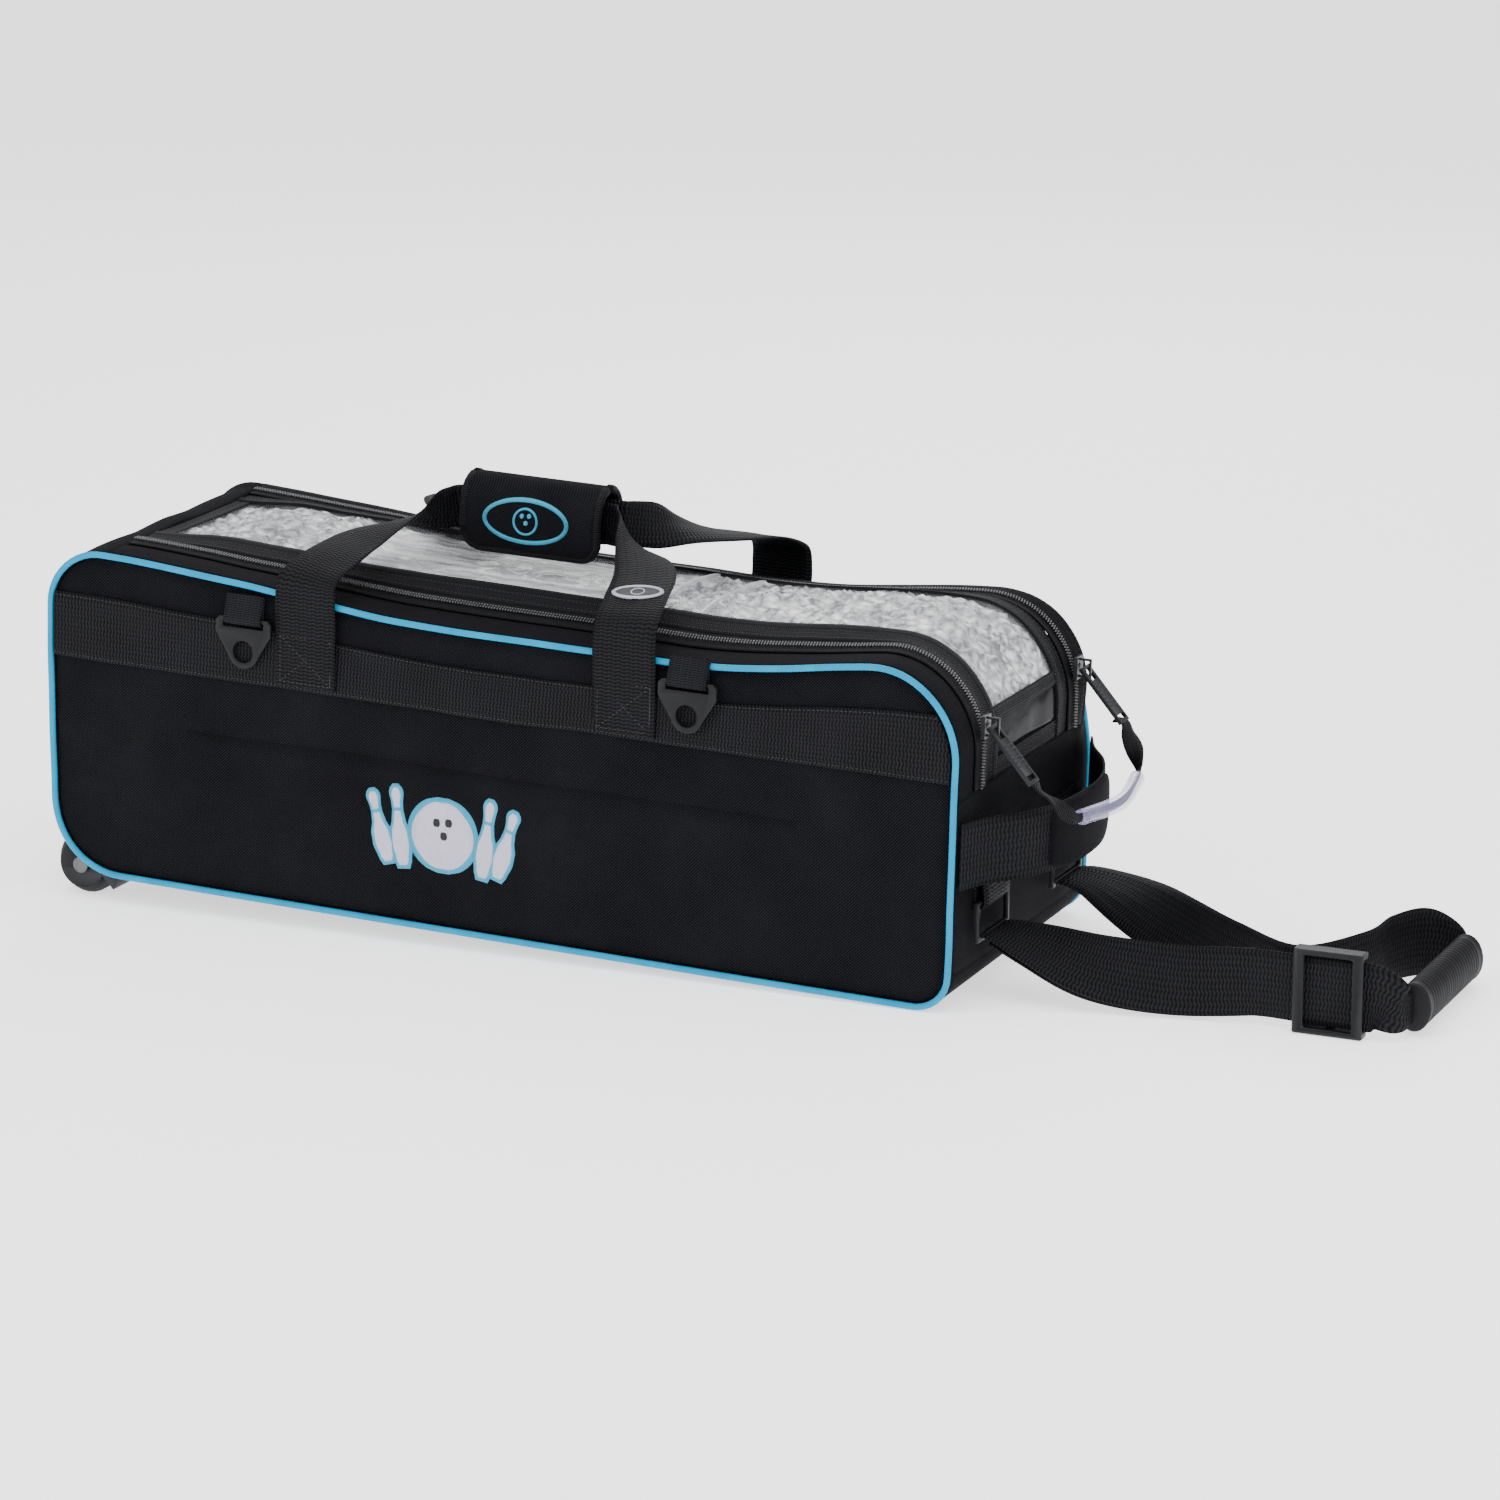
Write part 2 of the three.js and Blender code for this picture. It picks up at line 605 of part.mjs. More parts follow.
function slider(y) {
  const [z0, z1] = [SLIDER_Z - SLIDER_L / 2, SLIDER_Z + SLIDER_L / 2];
  const body = box(sliderX, bailX, y - SLIDER_W / 2, y + SLIDER_W / 2, z0, z1);
  const outer = rectangle(bailX - 1, bailX + BAIL_REACH, SLIDER_Z - BAIL_H / 2, SLIDER_Z + BAIL_H / 2);
  const inner = rectangle(bailX, bailX + BAIL_REACH - BAIL_ROD,
    SLIDER_Z - BAIL_H / 2 + BAIL_ROD, SLIDER_Z + BAIL_H / 2 - BAIL_ROD);
  return fuse(body, across(outer, y - BAIL_ROD / 2, y + BAIL_ROD / 2, [inner]));
}

const zipHandle = jointGroup(lidEnd, 'zip_handle', tabAxisX, 0, SLIDER_Z);
const leanX = Math.sin(rad(TAB_LEAN));
const leanZ = -Math.cos(rad(TAB_LEAN));

// a tab hangs from its eye bar and leans out from the pull end
function pullTab(y) {
  const top = TAB_T / 2;
  const plate = box(-TAB_T / 2, TAB_T / 2, -TAB_W / 2, TAB_W / 2, -TAB_L, top);
  const eye = box(-TAB_T, TAB_T, -TAB_W / 4, TAB_W / 4, -TAB_EYE, -top);
  const slot = box(-TAB_T, TAB_T, -TAB_W / 2 + 2.5, TAB_W / 2 - 2.5, 3 - TAB_L, 7 - TAB_L);
  return cut(plate, eye, slot).rotateY(-rad(TAB_LEAN)).translate(tabAxisX, y, SLIDER_Z);
}

for (const [side, label] of [[-1, 'front'], [1, 'rear']]) {
  const tape = between(side * (tapeInner + GAP), side * ZIP_Y);
  add(lidEnd, `lid_end_zip_${label}`, bandPiece(lidTip, foldEnd, -COIL_PROUD, ZIP_T, ...tape), COIL);
  add(lidEnd, `zip_slider_${label}`, slider(side * ZIP_Y), PLASTIC);
  add(zipHandle, `zip_tab_${label}`, pullTab(side * ZIP_Y), PLASTIC);
}

const tabEnd = TAB_L + BRIDGE_T + 2;
const tabEndX = tabAxisX + leanX * tabEnd;
const tabEndZ = SLIDER_Z + leanZ * tabEnd;
const tubeEndX = halfLength + TUBE_OUT;
const bridgeStops = [-1, 1].map((side) => [
  { at: [tabEndX, side * ZIP_Y, tabEndZ], wide: [0, 1, 0], width: BRIDGE_W },
  { at: [tabEndX + 9, side * (ZIP_Y - 8), tabEndZ - 12], wide: [0, 1, 0.5], width: BRIDGE_W },
  { at: [tubeEndX - 3, side * (TUBE_HALF + 12), TUBE_Z + 3], wide: [0.3, 0, 1], width: BRIDGE_W * 0.7 },
  { at: [tubeEndX, side * TUBE_HALF, TUBE_Z], wide: [0, 0, 1], width: BRIDGE_IN_GRIP },
]);
const tubeMiddle = { at: [tubeEndX + TUBE_BOW, 0, TUBE_Z - 2], wide: [0, 0, 1], width: BRIDGE_IN_GRIP };
const bridgePath = [...bridgeStops[0], tubeMiddle, ...bridgeStops[1].reverse()];
add(zipHandle, 'zip_bridge_strap', strap(bridgePath, BRIDGE_W, BRIDGE_T, 40), WEB);
const tubeFrames = framesThrough(bridgePath, 40).filter(({ origin }) => Math.abs(origin.y) <= TUBE_HALF - 1);
const tubeSections = (radius) => tubeFrames.map(() => roundSection(radius, radius, 14));
const boreFrames = [...tubeFrames];
boreFrames[0] = { ...tubeFrames[0], origin: tubeFrames[0].origin.clone().add(vec(0, -1, 0)) };
boreFrames[boreFrames.length - 1] = {
  ...tubeFrames.at(-1), origin: tubeFrames.at(-1).origin.clone().add(vec(0, 1, 0)),
};
add(zipHandle, 'zip_grip_tube',
  cut(sweep(tubeFrames, tubeSections(TUBE_R)), sweep(boreFrames, tubeSections(TUBE_BORE))), TUBE);

// ---- inside ------------------------------------------------------------------------
const insideHalf = halfWidth - PANEL_T - GAP;
const boardFrom = CORNER_BASE_WHEEL - halfLength + 6;
const boardTo = halfLength - CORNER_BASE_PULL - 4;
const boardZ = GUSSET_T + GAP;
const foamZ = boardZ + BOARD_T + GAP;
const insideLength = LENGTH - 2 * GUSSET_T;
const bay = (insideLength - 2 * DIVIDER_T) / 3;
const bayMiddle = [-1, 0, 1].map((i) => i * (bay + DIVIDER_T));
add(bag, 'base_board', box(boardFrom, boardTo, -insideHalf, insideHalf, boardZ, boardZ + BOARD_T), BOARD);
const dishes = bayMiddle.map((x) => new THREE.SphereGeometry(BALL_R, 32, 24)
  .translate(Math.min(Math.max(x, boardFrom + 60), boardTo - 60), 0, foamZ + FOAM_T - DISH_DEPTH + BALL_R));
const foamSlab = box(boardFrom, boardTo, -insideHalf, insideHalf, foamZ, foamZ + FOAM_T);
add(bag, 'base_foam', cut(foamSlab, ...dishes), FOAM);
for (const [i, label] of [[-1, 'wheel_side'], [1, 'pull_side']]) {
  const x = (i * (bay + DIVIDER_T)) / 2;
  const z0 = foamZ + FOAM_T + GAP;
  add(bag, `divider_${label}`,
    box(x - DIVIDER_T / 2, x + DIVIDER_T / 2, -insideHalf, insideHalf, z0, z0 + DIVIDER_H), FOAM);
}

// ---- side bands with the feet of the carry handles ----------------------------------
const bandFace = halfWidth + GAP + WEBBING_T;
const footFace = bandFace + WEBBING_T;
const bandOutline = outlineAt(panelEdge + 1);
const footTop = HINGE_Z - 1.5;

// pieces are built for the front, and the rear ones are their mirror images
function onSide(geometry, side) {
  const solid = toSolid(geometry);
  return toGeometry(side < 0 ? solid : solid.mirror([0, 1, 0]));
}

function sideBand() {
  const strip = common(
    across(bandOutline, -bandFace, -halfWidth - GAP),
    box(-halfLength, halfLength, -bandFace - 1, 0, BAND_Z - WEBBING / 2, BAND_Z + WEBBING / 2),
  );
  const feet = LEG_X.map((x) => box(x - WEBBING / 2, x + WEBBING / 2,
    -footFace, -bandFace + 0.2, BAND_Z - FOOT_DROP, BAND_Z + WEBBING / 2 - 0.5));
  const risers = LEG_X.map((x) => box(x - WEBBING / 2, x + WEBBING / 2,
    -footFace, -bandFace + 0.2, BAND_Z, footTop));
  return fuse(strip, ...feet, ...risers);
}

// ---- carry handles --------------------------------------------------------------------
const hingeY = halfWidth + HINGE_OUT;
const legY = bandFace + LEG_OUT;

function handleStrap() {
  const foldZ = HINGE_Z + 1.5;
  const leg = (i) => [
    { at: [LEG_X[i], -legY, foldZ], wide: [1, 0, 0] },
    { at: [LEG_X[i], -legY, HEIGHT + 1], wide: [1, 0, 0] },
    { at: [LEG_X[i] * 0.94, 22 - halfWidth, HEIGHT + 17], wide: [1, 0, 0] },
    { at: [LEG_X[i] * 0.74 + BAR_X[i] * 0.26, -72, BAR_Z - 17], wide: [1, 0, 0.1], width: 46 },
    { at: [LEG_X[i] * 0.4 + BAR_X[i] * 0.6, -36, BAR_Z - 8], wide: [1, 0, 0.5], width: 38 },
    { at: [BAR_X[i] * 1.02, -BAR_Y - 7, BAR_Z - 2], wide: [0.35, 0, 1], width: 33 },
  ];
  const bar = [
    { at: [BAR_X[0] * 0.85, -BAR_Y, BAR_Z], wide: [0, 0, 1], width: BAR_H },
    { at: [(BAR_X[0] + BAR_X[1]) / 2, -BAR_Y, BAR_Z], wide: [0, 0, 1], width: BAR_H },
    { at: [BAR_X[1] * 0.7, -BAR_Y, BAR_Z], wide: [0, 0, 1], width: BAR_H },
  ];
  const turned = ([x, y, z]) => [-x, -y, z];
  const back = leg(1).reverse().map((stop) => ({ ...stop, wide: turned(stop.wide) }));
  return strap([...leg(0), ...bar, ...back], WEBBING, WEBBING_T, 60);
}

// wrap: a padded channel open to the rear, so the rear strap can leave it
function handWrap() {
  const [hh, hd] = [WRAP_H / 2, WRAP_D / 2];
  const bevelled = [[-hd, -hh + 8], [-hd + 8, -hh], [hd, -hh], [hd, hh], [-hd + 8, hh], [-hd, hh - 8]];
  const outer = new THREE.Shape(bevelled.map(([y, z]) => new THREE.Vector2(y, z)));
  const bar = new THREE.ExtrudeGeometry(outer, { depth: WRAP_X[1] - WRAP_X[0], bevelEnabled: false });
  // shape x to +Y, shape y to +Z, depth to +X
  bar.applyMatrix4(new THREE.Matrix4().makeBasis(vec(0, 1, 0), vec(0, 0, 1), vec(1, 0, 0)));
  bar.translate(WRAP_X[0], 0, BAR_Z);
  const channel = box(WRAP_X[0] - 1, WRAP_X[1] + 1, WRAP_WALL - hd, hd + 1,
    BAR_Z - hh + WRAP_WALL, BAR_Z + hh - WRAP_WALL);
  return cut(bar, channel);
}

add(bag, 'front_band', onSide(sideBand(), -1), WEB);
add(bag, 'rear_band', onSide(sideBand(), 1), WEB);
const frontHandle = jointGroup(bag, 'front_handle', 0, -hingeY, HINGE_Z);
const rearHandle = jointGroup(bag, 'rear_handle', 0, hingeY, HINGE_Z);
add(frontHandle, 'front_handle_strap', onSide(handleStrap(), -1), WEB);
add(frontHandle, 'handle_wrap', handWrap(), FABRIC);
add(rearHandle, 'rear_handle_strap', onSide(handleStrap(), 1), WEB);

// ---- triangle rings ---------------------------------------------------------------------
// a loop of webbing round a bar; its profile lies in a plane across the bar
function loopProfile(rodHalf, height, thickness) {
  const inner = rodHalf * Math.SQRT2 + GAP;
  const outer = inner + thickness;
  const arc = (radius) => circle(0, 0, radius, 16).filter(([, z]) => z <= 1e-6)
    .sort(([x0], [x1]) => x0 - x1);
  return {
    outer: [...arc(outer), [outer, height], [-outer, height]],
    inner: [...arc(inner), [inner, height - 6], [-inner, height - 6]],
    half: outer,
  };
}
const ringRod = RING_T / 2;
const ringLoop = loopProfile(ringRod, RING_LOOP_H, WEBBING_T);
const ringY = -(bandFace + GAP + ringLoop.half);

function ringLoopSolid(x) {
  const shape = new THREE.Shape(ringLoop.outer.map(([a, b]) => new THREE.Vector2(a, b)));
  shape.holes.push(new THREE.Path(ringLoop.inner.map(([a, b]) => new THREE.Vector2(a, b))));
  const loop = new THREE.ExtrudeGeometry(shape, { depth: RING_LOOP_W, bevelEnabled: false });
  loop.applyMatrix4(new THREE.Matrix4().makeBasis(vec(0, 1, 0), vec(0, 0, 1), vec(1, 0, 0)));
  return loop.translate(x - RING_LOOP_W / 2, ringY, RING_BAR_Z);
}

function triangleRing(x) {
  const w = RING_W / 2;
  const top = ringRod;
  const round = circle(0, 0, RING_HOLE_R + 4.5, 24).map(([a, b]) => [a, b - RING_H + RING_HOLE_R + 5])
    .filter(([, b]) => b <= -RING_H + RING_HOLE_R + 3)
    .sort(([a0], [a1]) => a0 - a1);
  const outline = [[w, top - 3], [w - 3, top], [3 - w, top], [-w, top - 3], [-w, -RING_SLOT_H - 5], ...round,
    [w, -RING_SLOT_H - 5]];
  const slot = rectangle(-RING_LOOP_W / 2 - 1.5, RING_LOOP_W / 2 + 1.5, -RING_SLOT_H, -ringRod);
  const hole = circle(0, -RING_H + RING_HOLE_R + 5, RING_HOLE_R, 20);
  const plate = across(outline, -RING_T / 2, RING_T / 2, [slot, hole]);
  return plate.translate(x, ringY, RING_BAR_Z);
}
RING_X.forEach((x, i) => {
  const label = ['left', 'right'][i];
  add(bag, `ring_loop_${label}`, ringLoopSolid(x), WEB);
  const swing = jointGroup(bag, `ring_${label}`, x, ringY, RING_BAR_Z);
  add(swing, `triangle_ring_${label}`, triangleRing(x), PLASTIC);
});

// ---- handle on the pull end ---------------------------------------------------------------
const endFace = halfLength + GAP + END_HANDLE_T / 2;
const endStops = (width) => [-1, -0.9, -0.62, -0.3, 0, 0.3, 0.62, 0.9, 1].map((f) => {
  const out = Math.max(0, 1 - Math.pow(Math.abs(f) / 0.9, 2.4));
  const at = [endFace + 1 + END_HANDLE_OUT * out, f * (gussetHalf - 1), END_HANDLE_Z];
  return { at, wide: [0, 0, 1], width };
});
const endHandleSteps = 44;
add(bag, 'end_handle', strap(endStops(WEBBING), WEBBING, END_HANDLE_T, endHandleSteps), WEB);

function sleeve() {
  const handleFrames = framesThrough(endStops(WEBBING), endHandleSteps);
  const within = (half) => handleFrames.filter(({ origin }) => Math.abs(origin.y) <= half);
  const frames = within(SLEEVE_HALF);
  const slotFrames = within(SLEEVE_HALF + 12);
  const outer = frames.map(() => roundSection(SLEEVE_H / 2, SLEEVE_T / 2, 16)
    .map(([a, b]) => [Math.sign(a) * Math.min(Math.abs(a) * 1.12, SLEEVE_H / 2), b]));
  const slot = slotFrames.map(() => flatSection(WEBBING + 1.2, END_HANDLE_T + 1.2));
  return cut(sweep(frames, outer), sweep(slotFrames, slot));
}
add(bag, 'end_handle_sleeve', sleeve(), FABRIC);

// ---- pull strap --------------------------------------------------------------------------
// the ring's upper bar hangs in a webbing loop on the pull end; everything from the
// ring outwards lies on the ground, so it is placed in the ground's own frame
const anchorLoop = loopProfile(LOOP_ROD, ANCHOR_H, WEBBING_T);
const endAtAnchor = (() => {
  const lever = ANCHOR_Z + ANCHOR_H - restCorner.z - PIPING_PROUD;
  return restCorner.x + CORNER_BASE_PULL * Math.cos(slope) + lever * Math.sin(slope);
})();
const anchorX = endAtAnchor + 2 * GAP + anchorLoop.half;
const strapGroup = jointGroup(bowlingBag, 'pull_strap', anchorX, 0, ANCHOR_Z);

function anchor(y) {
  const half = WEBBING / 2;
  return across(anchorLoop.outer, y - half, y + half, [anchorLoop.inner]).translate(anchorX, 0, ANCHOR_Z);
}

function loopRing(y) {
  const half = WEBBING / 2 + 2;
  const rod = 2 * LOOP_ROD;
  const frame = box(-LOOP_ROD, LOOP_ROD, -half - rod, half + rod, -LOOP_RING_H - LOOP_ROD, LOOP_ROD);
  const hole = box(-rod, rod, -half, half, LOOP_ROD - LOOP_RING_H, -LOOP_ROD);
  return cut(frame, hole).translate(anchorX, y, ANCHOR_Z);
}

for (const [side, label] of [[-1, 'front'], [1, 'rear']]) {
  add(bowlingBag, `strap_anchor_${label}`, anchor(side * ANCHOR_Y), WEB);
  add(strapGroup, `strap_ring_${label}`, loopRing(side * ANCHOR_Y), PLASTIC);
}

const edgeZ = WEBBING / 2 + STRAP_OFF_GROUND;
const gripZ = edgeZ - GRIP_BELOW_STRAP;
const glideZ = GLIDE_H / 2 + 0.5;
const lowerBarZ = ANCHOR_Z - LOOP_RING_H;
const strapStartX = anchorX + 2 * LOOP_ROD + STRAP_T;
const end = halfLength;
const towardsGround = (share) => lowerBarZ + share * (edgeZ - lowerBarZ);
const flat = [0, 1, 0];
const onEdge = [0, 0, 1];
const gripStop = (y) => ({ at: [end + GRIP_X, y, gripZ], wide: onEdge, width: STRAP_IN_GRIP });
const frontRun = [
  { at: [strapStartX, -ANCHOR_Y, lowerBarZ + 1], wide: flat },
  { at: [strapStartX + 32, -ANCHOR_Y - 1, towardsGround(0.27)], wide: [0, 1, 0.35] },
  { at: [end + 92, -ANCHOR_Y - 3, edgeZ + 6], wide: [0, 0.7, 0.8] },
  { at: [end + 150, -ANCHOR_Y + 2, edgeZ + 2], wide: [0, 0.25, 1] },
  { at: [end + GLIDE_X - 60, GLIDE_Y, glideZ], wide: onEdge },
  { at: [end + GLIDE_X - 20, GLIDE_Y, glideZ], wide: onEdge },
  { at: [end + GLIDE_X + 33, GLIDE_Y, glideZ - 1], wide: onEdge },
  { at: [end + GRIP_X - 4, GLIDE_Y + 5, edgeZ - 3], wide: onEdge, width: STRAP_NEAR_GRIP },
];
const rearRun = [
  { at: [end + GRIP_X - 10, GRIP_Y[1] + 14, edgeZ - 3], wide: onEdge, width: STRAP_NEAR_GRIP },
  { at: [end + GRIP_X - 34, GRIP_Y[1] + 12, edgeZ], wide: onEdge },
  { at: [end + GRIP_X - 52, GRIP_Y[1] - 16, edgeZ], wide: onEdge },
  { at: [end + GRIP_X - 58, GRIP_Y[1] - 62, edgeZ], wide: onEdge },
  { at: [end + 226, -30, edgeZ], wide: onEdge },
  { at: [end + 170, -2, edgeZ + 1], wide: [0, 0.2, 1] },
  { at: [end + 105, 40, edgeZ + 6], wide: [0, 0.6, 0.8] },
  { at: [strapStartX + 34, ANCHOR_Y - 4, towardsGround(0.22)], wide: [0, 1, 0.3] },
  { at: [strapStartX + 1, ANCHOR_Y, lowerBarZ + 1], wide: flat },
];
const strapPath = [...frontRun, gripStop(GRIP_Y[0] + 8), gripStop((GRIP_Y[0] + GRIP_Y[1]) / 2),
  gripStop(GRIP_Y[1] - 8), ...rearRun];
add(strapGroup, 'pull_strap_webbing', strap(strapPath, WEBBING, STRAP_T, 100), WEB);

const tailStops = frontRun.slice(0, 6).map((stop, i) => {
  const lower = [3.4, 5, 4, 2, 0, 0][i];
  const behind = [0, 3, STRAP_LAYER, STRAP_LAYER, STRAP_LAYER, STRAP_LAYER][i];
  const [x, y, z] = stop.at;
  return { ...stop, at: [x, y + behind, z - lower] };
});
tailStops[5].at[0] = end + GLIDE_X - GLIDE_L / 2 - 8;
add(strapGroup, 'pull_strap_tail', strap(tailStops, WEBBING, STRAP_T, 36), WEB);

function grip() {
  const stops = [gripStop(GRIP_Y[0]), gripStop((GRIP_Y[0] + GRIP_Y[1]) / 2), gripStop(GRIP_Y[1])];
  const longer = [gripStop(GRIP_Y[0] - 1), stops[1], gripStop(GRIP_Y[1] + 1)];
  return cut(tubeThrough(stops, GRIP_A, GRIP_B, 20, 8),
    tubeThrough(longer, GRIP_A - GRIP_WALL, GRIP_B - GRIP_WALL, 20, 8));
}
add(strapGroup, 'pull_strap_grip', grip(), RUBBER);

// adjuster: two front bars and one rear bar between rails, the strap runs between them
const glideX = end + GLIDE_X;
const glideGroup = jointGroup(strapGroup, 'adjuster', glideX, GLIDE_Y, glideZ);
function adjuster() {
  const [hl, hh, hd] = [GLIDE_L / 2, GLIDE_H / 2, GLIDE_D / 2];
  const rails = [-1, 1].map((up) => {
    const z = up * (hh - GLIDE_RAIL / 2);
    return box(-hl, hl, -hd, hd, z - GLIDE_RAIL / 2, z + GLIDE_RAIL / 2);
  });
  const fronts = [-1, 1].map((way) => {
    const x = way * (hl - GLIDE_BAR / 2);
    return box(x - GLIDE_BAR / 2, x + GLIDE_BAR / 2, -hd, GLIDE_BAR_T - hd, 1 - hh, hh - 1);
  });
  const rear = box(-GLIDE_BAR / 2, GLIDE_BAR / 2, hd - GLIDE_BAR_T, hd, 1 - hh, hh - 1);
  return fuse(rails[0], rails[1], ...fronts, rear).translate(glideX, GLIDE_Y, glideZ);
}
add(glideGroup, 'strap_adjuster', adjuster(), PLASTIC);

// ---- origin at the middle of the whole object's footprint --------------------------------
bowlingBag.updateMatrixWorld(true);
const bounds = new THREE.Box3().setFromObject(bowlingBag, true);
const middle = bounds.getCenter(vec(0, 0, 0));
bowlingBag.position.set(-middle.x, -middle.y, -bounds.min.z);
bowlingBag.updateMatrixWorld(true);

export default bowlingBag;
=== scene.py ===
import json
import math

import bmesh
import bpy
from mathutils import Matrix, Vector, noise
from mathutils.bvhtree import BVHTree
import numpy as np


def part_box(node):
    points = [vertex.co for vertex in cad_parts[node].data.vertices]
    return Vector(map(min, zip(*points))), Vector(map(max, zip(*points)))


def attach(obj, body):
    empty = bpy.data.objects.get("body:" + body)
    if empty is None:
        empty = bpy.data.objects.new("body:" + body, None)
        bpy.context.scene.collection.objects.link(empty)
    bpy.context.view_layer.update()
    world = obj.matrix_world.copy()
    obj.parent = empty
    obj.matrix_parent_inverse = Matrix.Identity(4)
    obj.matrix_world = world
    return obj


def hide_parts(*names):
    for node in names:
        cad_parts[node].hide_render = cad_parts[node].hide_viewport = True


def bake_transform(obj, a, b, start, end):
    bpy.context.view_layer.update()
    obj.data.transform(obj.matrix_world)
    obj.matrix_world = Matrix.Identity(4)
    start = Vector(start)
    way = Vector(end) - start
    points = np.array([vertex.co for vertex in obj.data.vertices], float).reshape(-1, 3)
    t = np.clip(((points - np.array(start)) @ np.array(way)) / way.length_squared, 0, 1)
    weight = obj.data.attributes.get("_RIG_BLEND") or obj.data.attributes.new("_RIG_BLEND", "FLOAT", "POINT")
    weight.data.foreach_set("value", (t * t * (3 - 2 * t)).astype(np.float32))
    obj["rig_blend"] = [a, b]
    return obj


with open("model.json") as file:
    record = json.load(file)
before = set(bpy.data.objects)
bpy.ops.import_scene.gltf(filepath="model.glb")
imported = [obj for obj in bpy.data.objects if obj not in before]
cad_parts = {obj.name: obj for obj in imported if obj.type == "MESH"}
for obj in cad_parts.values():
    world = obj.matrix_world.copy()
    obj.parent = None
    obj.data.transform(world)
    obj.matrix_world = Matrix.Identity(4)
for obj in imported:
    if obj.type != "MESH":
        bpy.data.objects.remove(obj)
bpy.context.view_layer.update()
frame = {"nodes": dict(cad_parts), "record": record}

# ---- Camera, floor and light -------------------------------------------------
# The bag is seen from its front, a little towards the pull end and from above,
# through a long lens.  The floor is plain and pale, and the light is soft.
AIM = Vector((-0.008, 0.0, 0.140))
AZIMUTH, ELEVATION = math.radians(23.9), math.radians(15.1)
DISTANCE = 4.0
LENS, SENSOR, FLOOR_HALF = 128.0, 36.0, 12.0


def into_scene(name, data):
    """An object of this data, linked to the scene."""
    item = bpy.data.objects.new(name, data)
    bpy.context.scene.collection.objects.link(item)
    return item


def camera_and_studio():
    back = Vector((math.sin(AZIMUTH) * math.cos(ELEVATION),
                   -math.cos(AZIMUTH) * math.cos(ELEVATION), math.sin(ELEVATION)))
    data = bpy.data.cameras.new("camera")
    data.lens = LENS
    data.sensor_width = SENSOR
    data.clip_end = 60.0
    camera = into_scene("camera", data)
    camera.location = AIM + back * DISTANCE
    camera.rotation_euler = (-back).to_track_quat("-Z", "Y").to_euler()
    bpy.context.scene.camera = camera

    floor_mesh = bpy.data.meshes.new("floor")
    corners = [(x * FLOOR_HALF, y * FLOOR_HALF, 0) for x, y in ((-1, -1), (1, -1), (1, 1), (-1, 1))]
    floor_mesh.from_pydata(corners, [], [(0, 1, 2, 3)])
    floor = into_scene("floor", floor_mesh)
    paper = bpy.data.materials.new("floor_paper")
    paper.use_nodes = True
    surface = paper.node_tree.nodes["Principled BSDF"]
    surface.inputs["Base Color"].default_value = (0.9, 0.9, 0.91, 1)
    surface.inputs["Roughness"].default_value = 0.8
    surface.inputs["Specular IOR Level"].default_value = 0.2
    surface.inputs["Emission Color"].default_value = (1, 1, 1, 1)
    surface.inputs["Emission Strength"].default_value = 1.2
    floor_mesh.materials.append(paper)

    world = bpy.data.worlds.new("studio")
    world.use_nodes = True
    world.node_tree.nodes["Background"].inputs["Color"].default_value = (0.97, 0.98, 1.0, 1)
    world.node_tree.nodes["Background"].inputs["Strength"].default_value = 1.0
    bpy.context.scene.world = world

    lamps = [("top_light", (0.2, -0.5, 2.6), 2.4, 60), ("front_light", (-1.9, -2.6, 1.5), 1.6, 34),
             ("end_light", (2.6, -0.9, 1.3), 1.2, 22), ("back_light", (-0.6, 2.4, 1.9), 1.6, 26)]
    for name, place, size, power in lamps:
        lamp = bpy.data.lights.new(name, "AREA")
        lamp.size = size
        lamp.energy = power
        item = into_scene(name, lamp)
        item.location = place
        item.rotation_euler = (AIM - Vector(place)).to_track_quat("-Z", "Y").to_euler()


camera_and_studio()

# ---- Side panels -------------------------------------------------------------
# Two padded panels of black woven polyester with rounded corners, the front and
# rear faces of the bag.  They belly out a little, and the top edge sags between
# its ends because only the lid holds it up.
LENGTH, WIDTH, HEIGHT = 745.0, 275.0, 255.0
CORNER_BASE_PULL, CORNER_TOP_PULL = 28.0, 72.0
CORNER_TOP_WHEEL, CORNER_BASE_WHEEL = 45.0, 60.0
PIPING_R, PIPING_PROUD, GUSSET_T, PANEL_T, GAP = 3.0, 1.2, 4.0, 5.0, 0.3
TOP_SAG = 21.0
REAR_PUFF, REAR_DROP, REAR_TUCK = 6.0, 22.0, 18.0
BELLY = 4.5
HALF_L, HALF_W = LENGTH / 2, WIDTH / 2
SIDES = ((-1, "front"), (1, "rear"))

base_mount = next(m for m in frame["record"]["mounts"] if m["name"] == "base_face")
bag_origin = Vector(base_mount["pos_m"])
bag_up = -Vector(base_mount["axis"]).normalized()
bag_along = Vector((0, 1, 0)).cross(bag_up).normalized()


def from_bag(p):
    """A point in the bag's own millimetres, as a place in metres."""
    return bag_origin + (bag_along * p[0] + Vector((0, p[1], 0)) + bag_up * p[2]) / 1000


def smooth(low, high, value):
    t = min(max((value - low) / (high - low), 0.0), 1.0)
    return t * t * (3 - 2 * t)


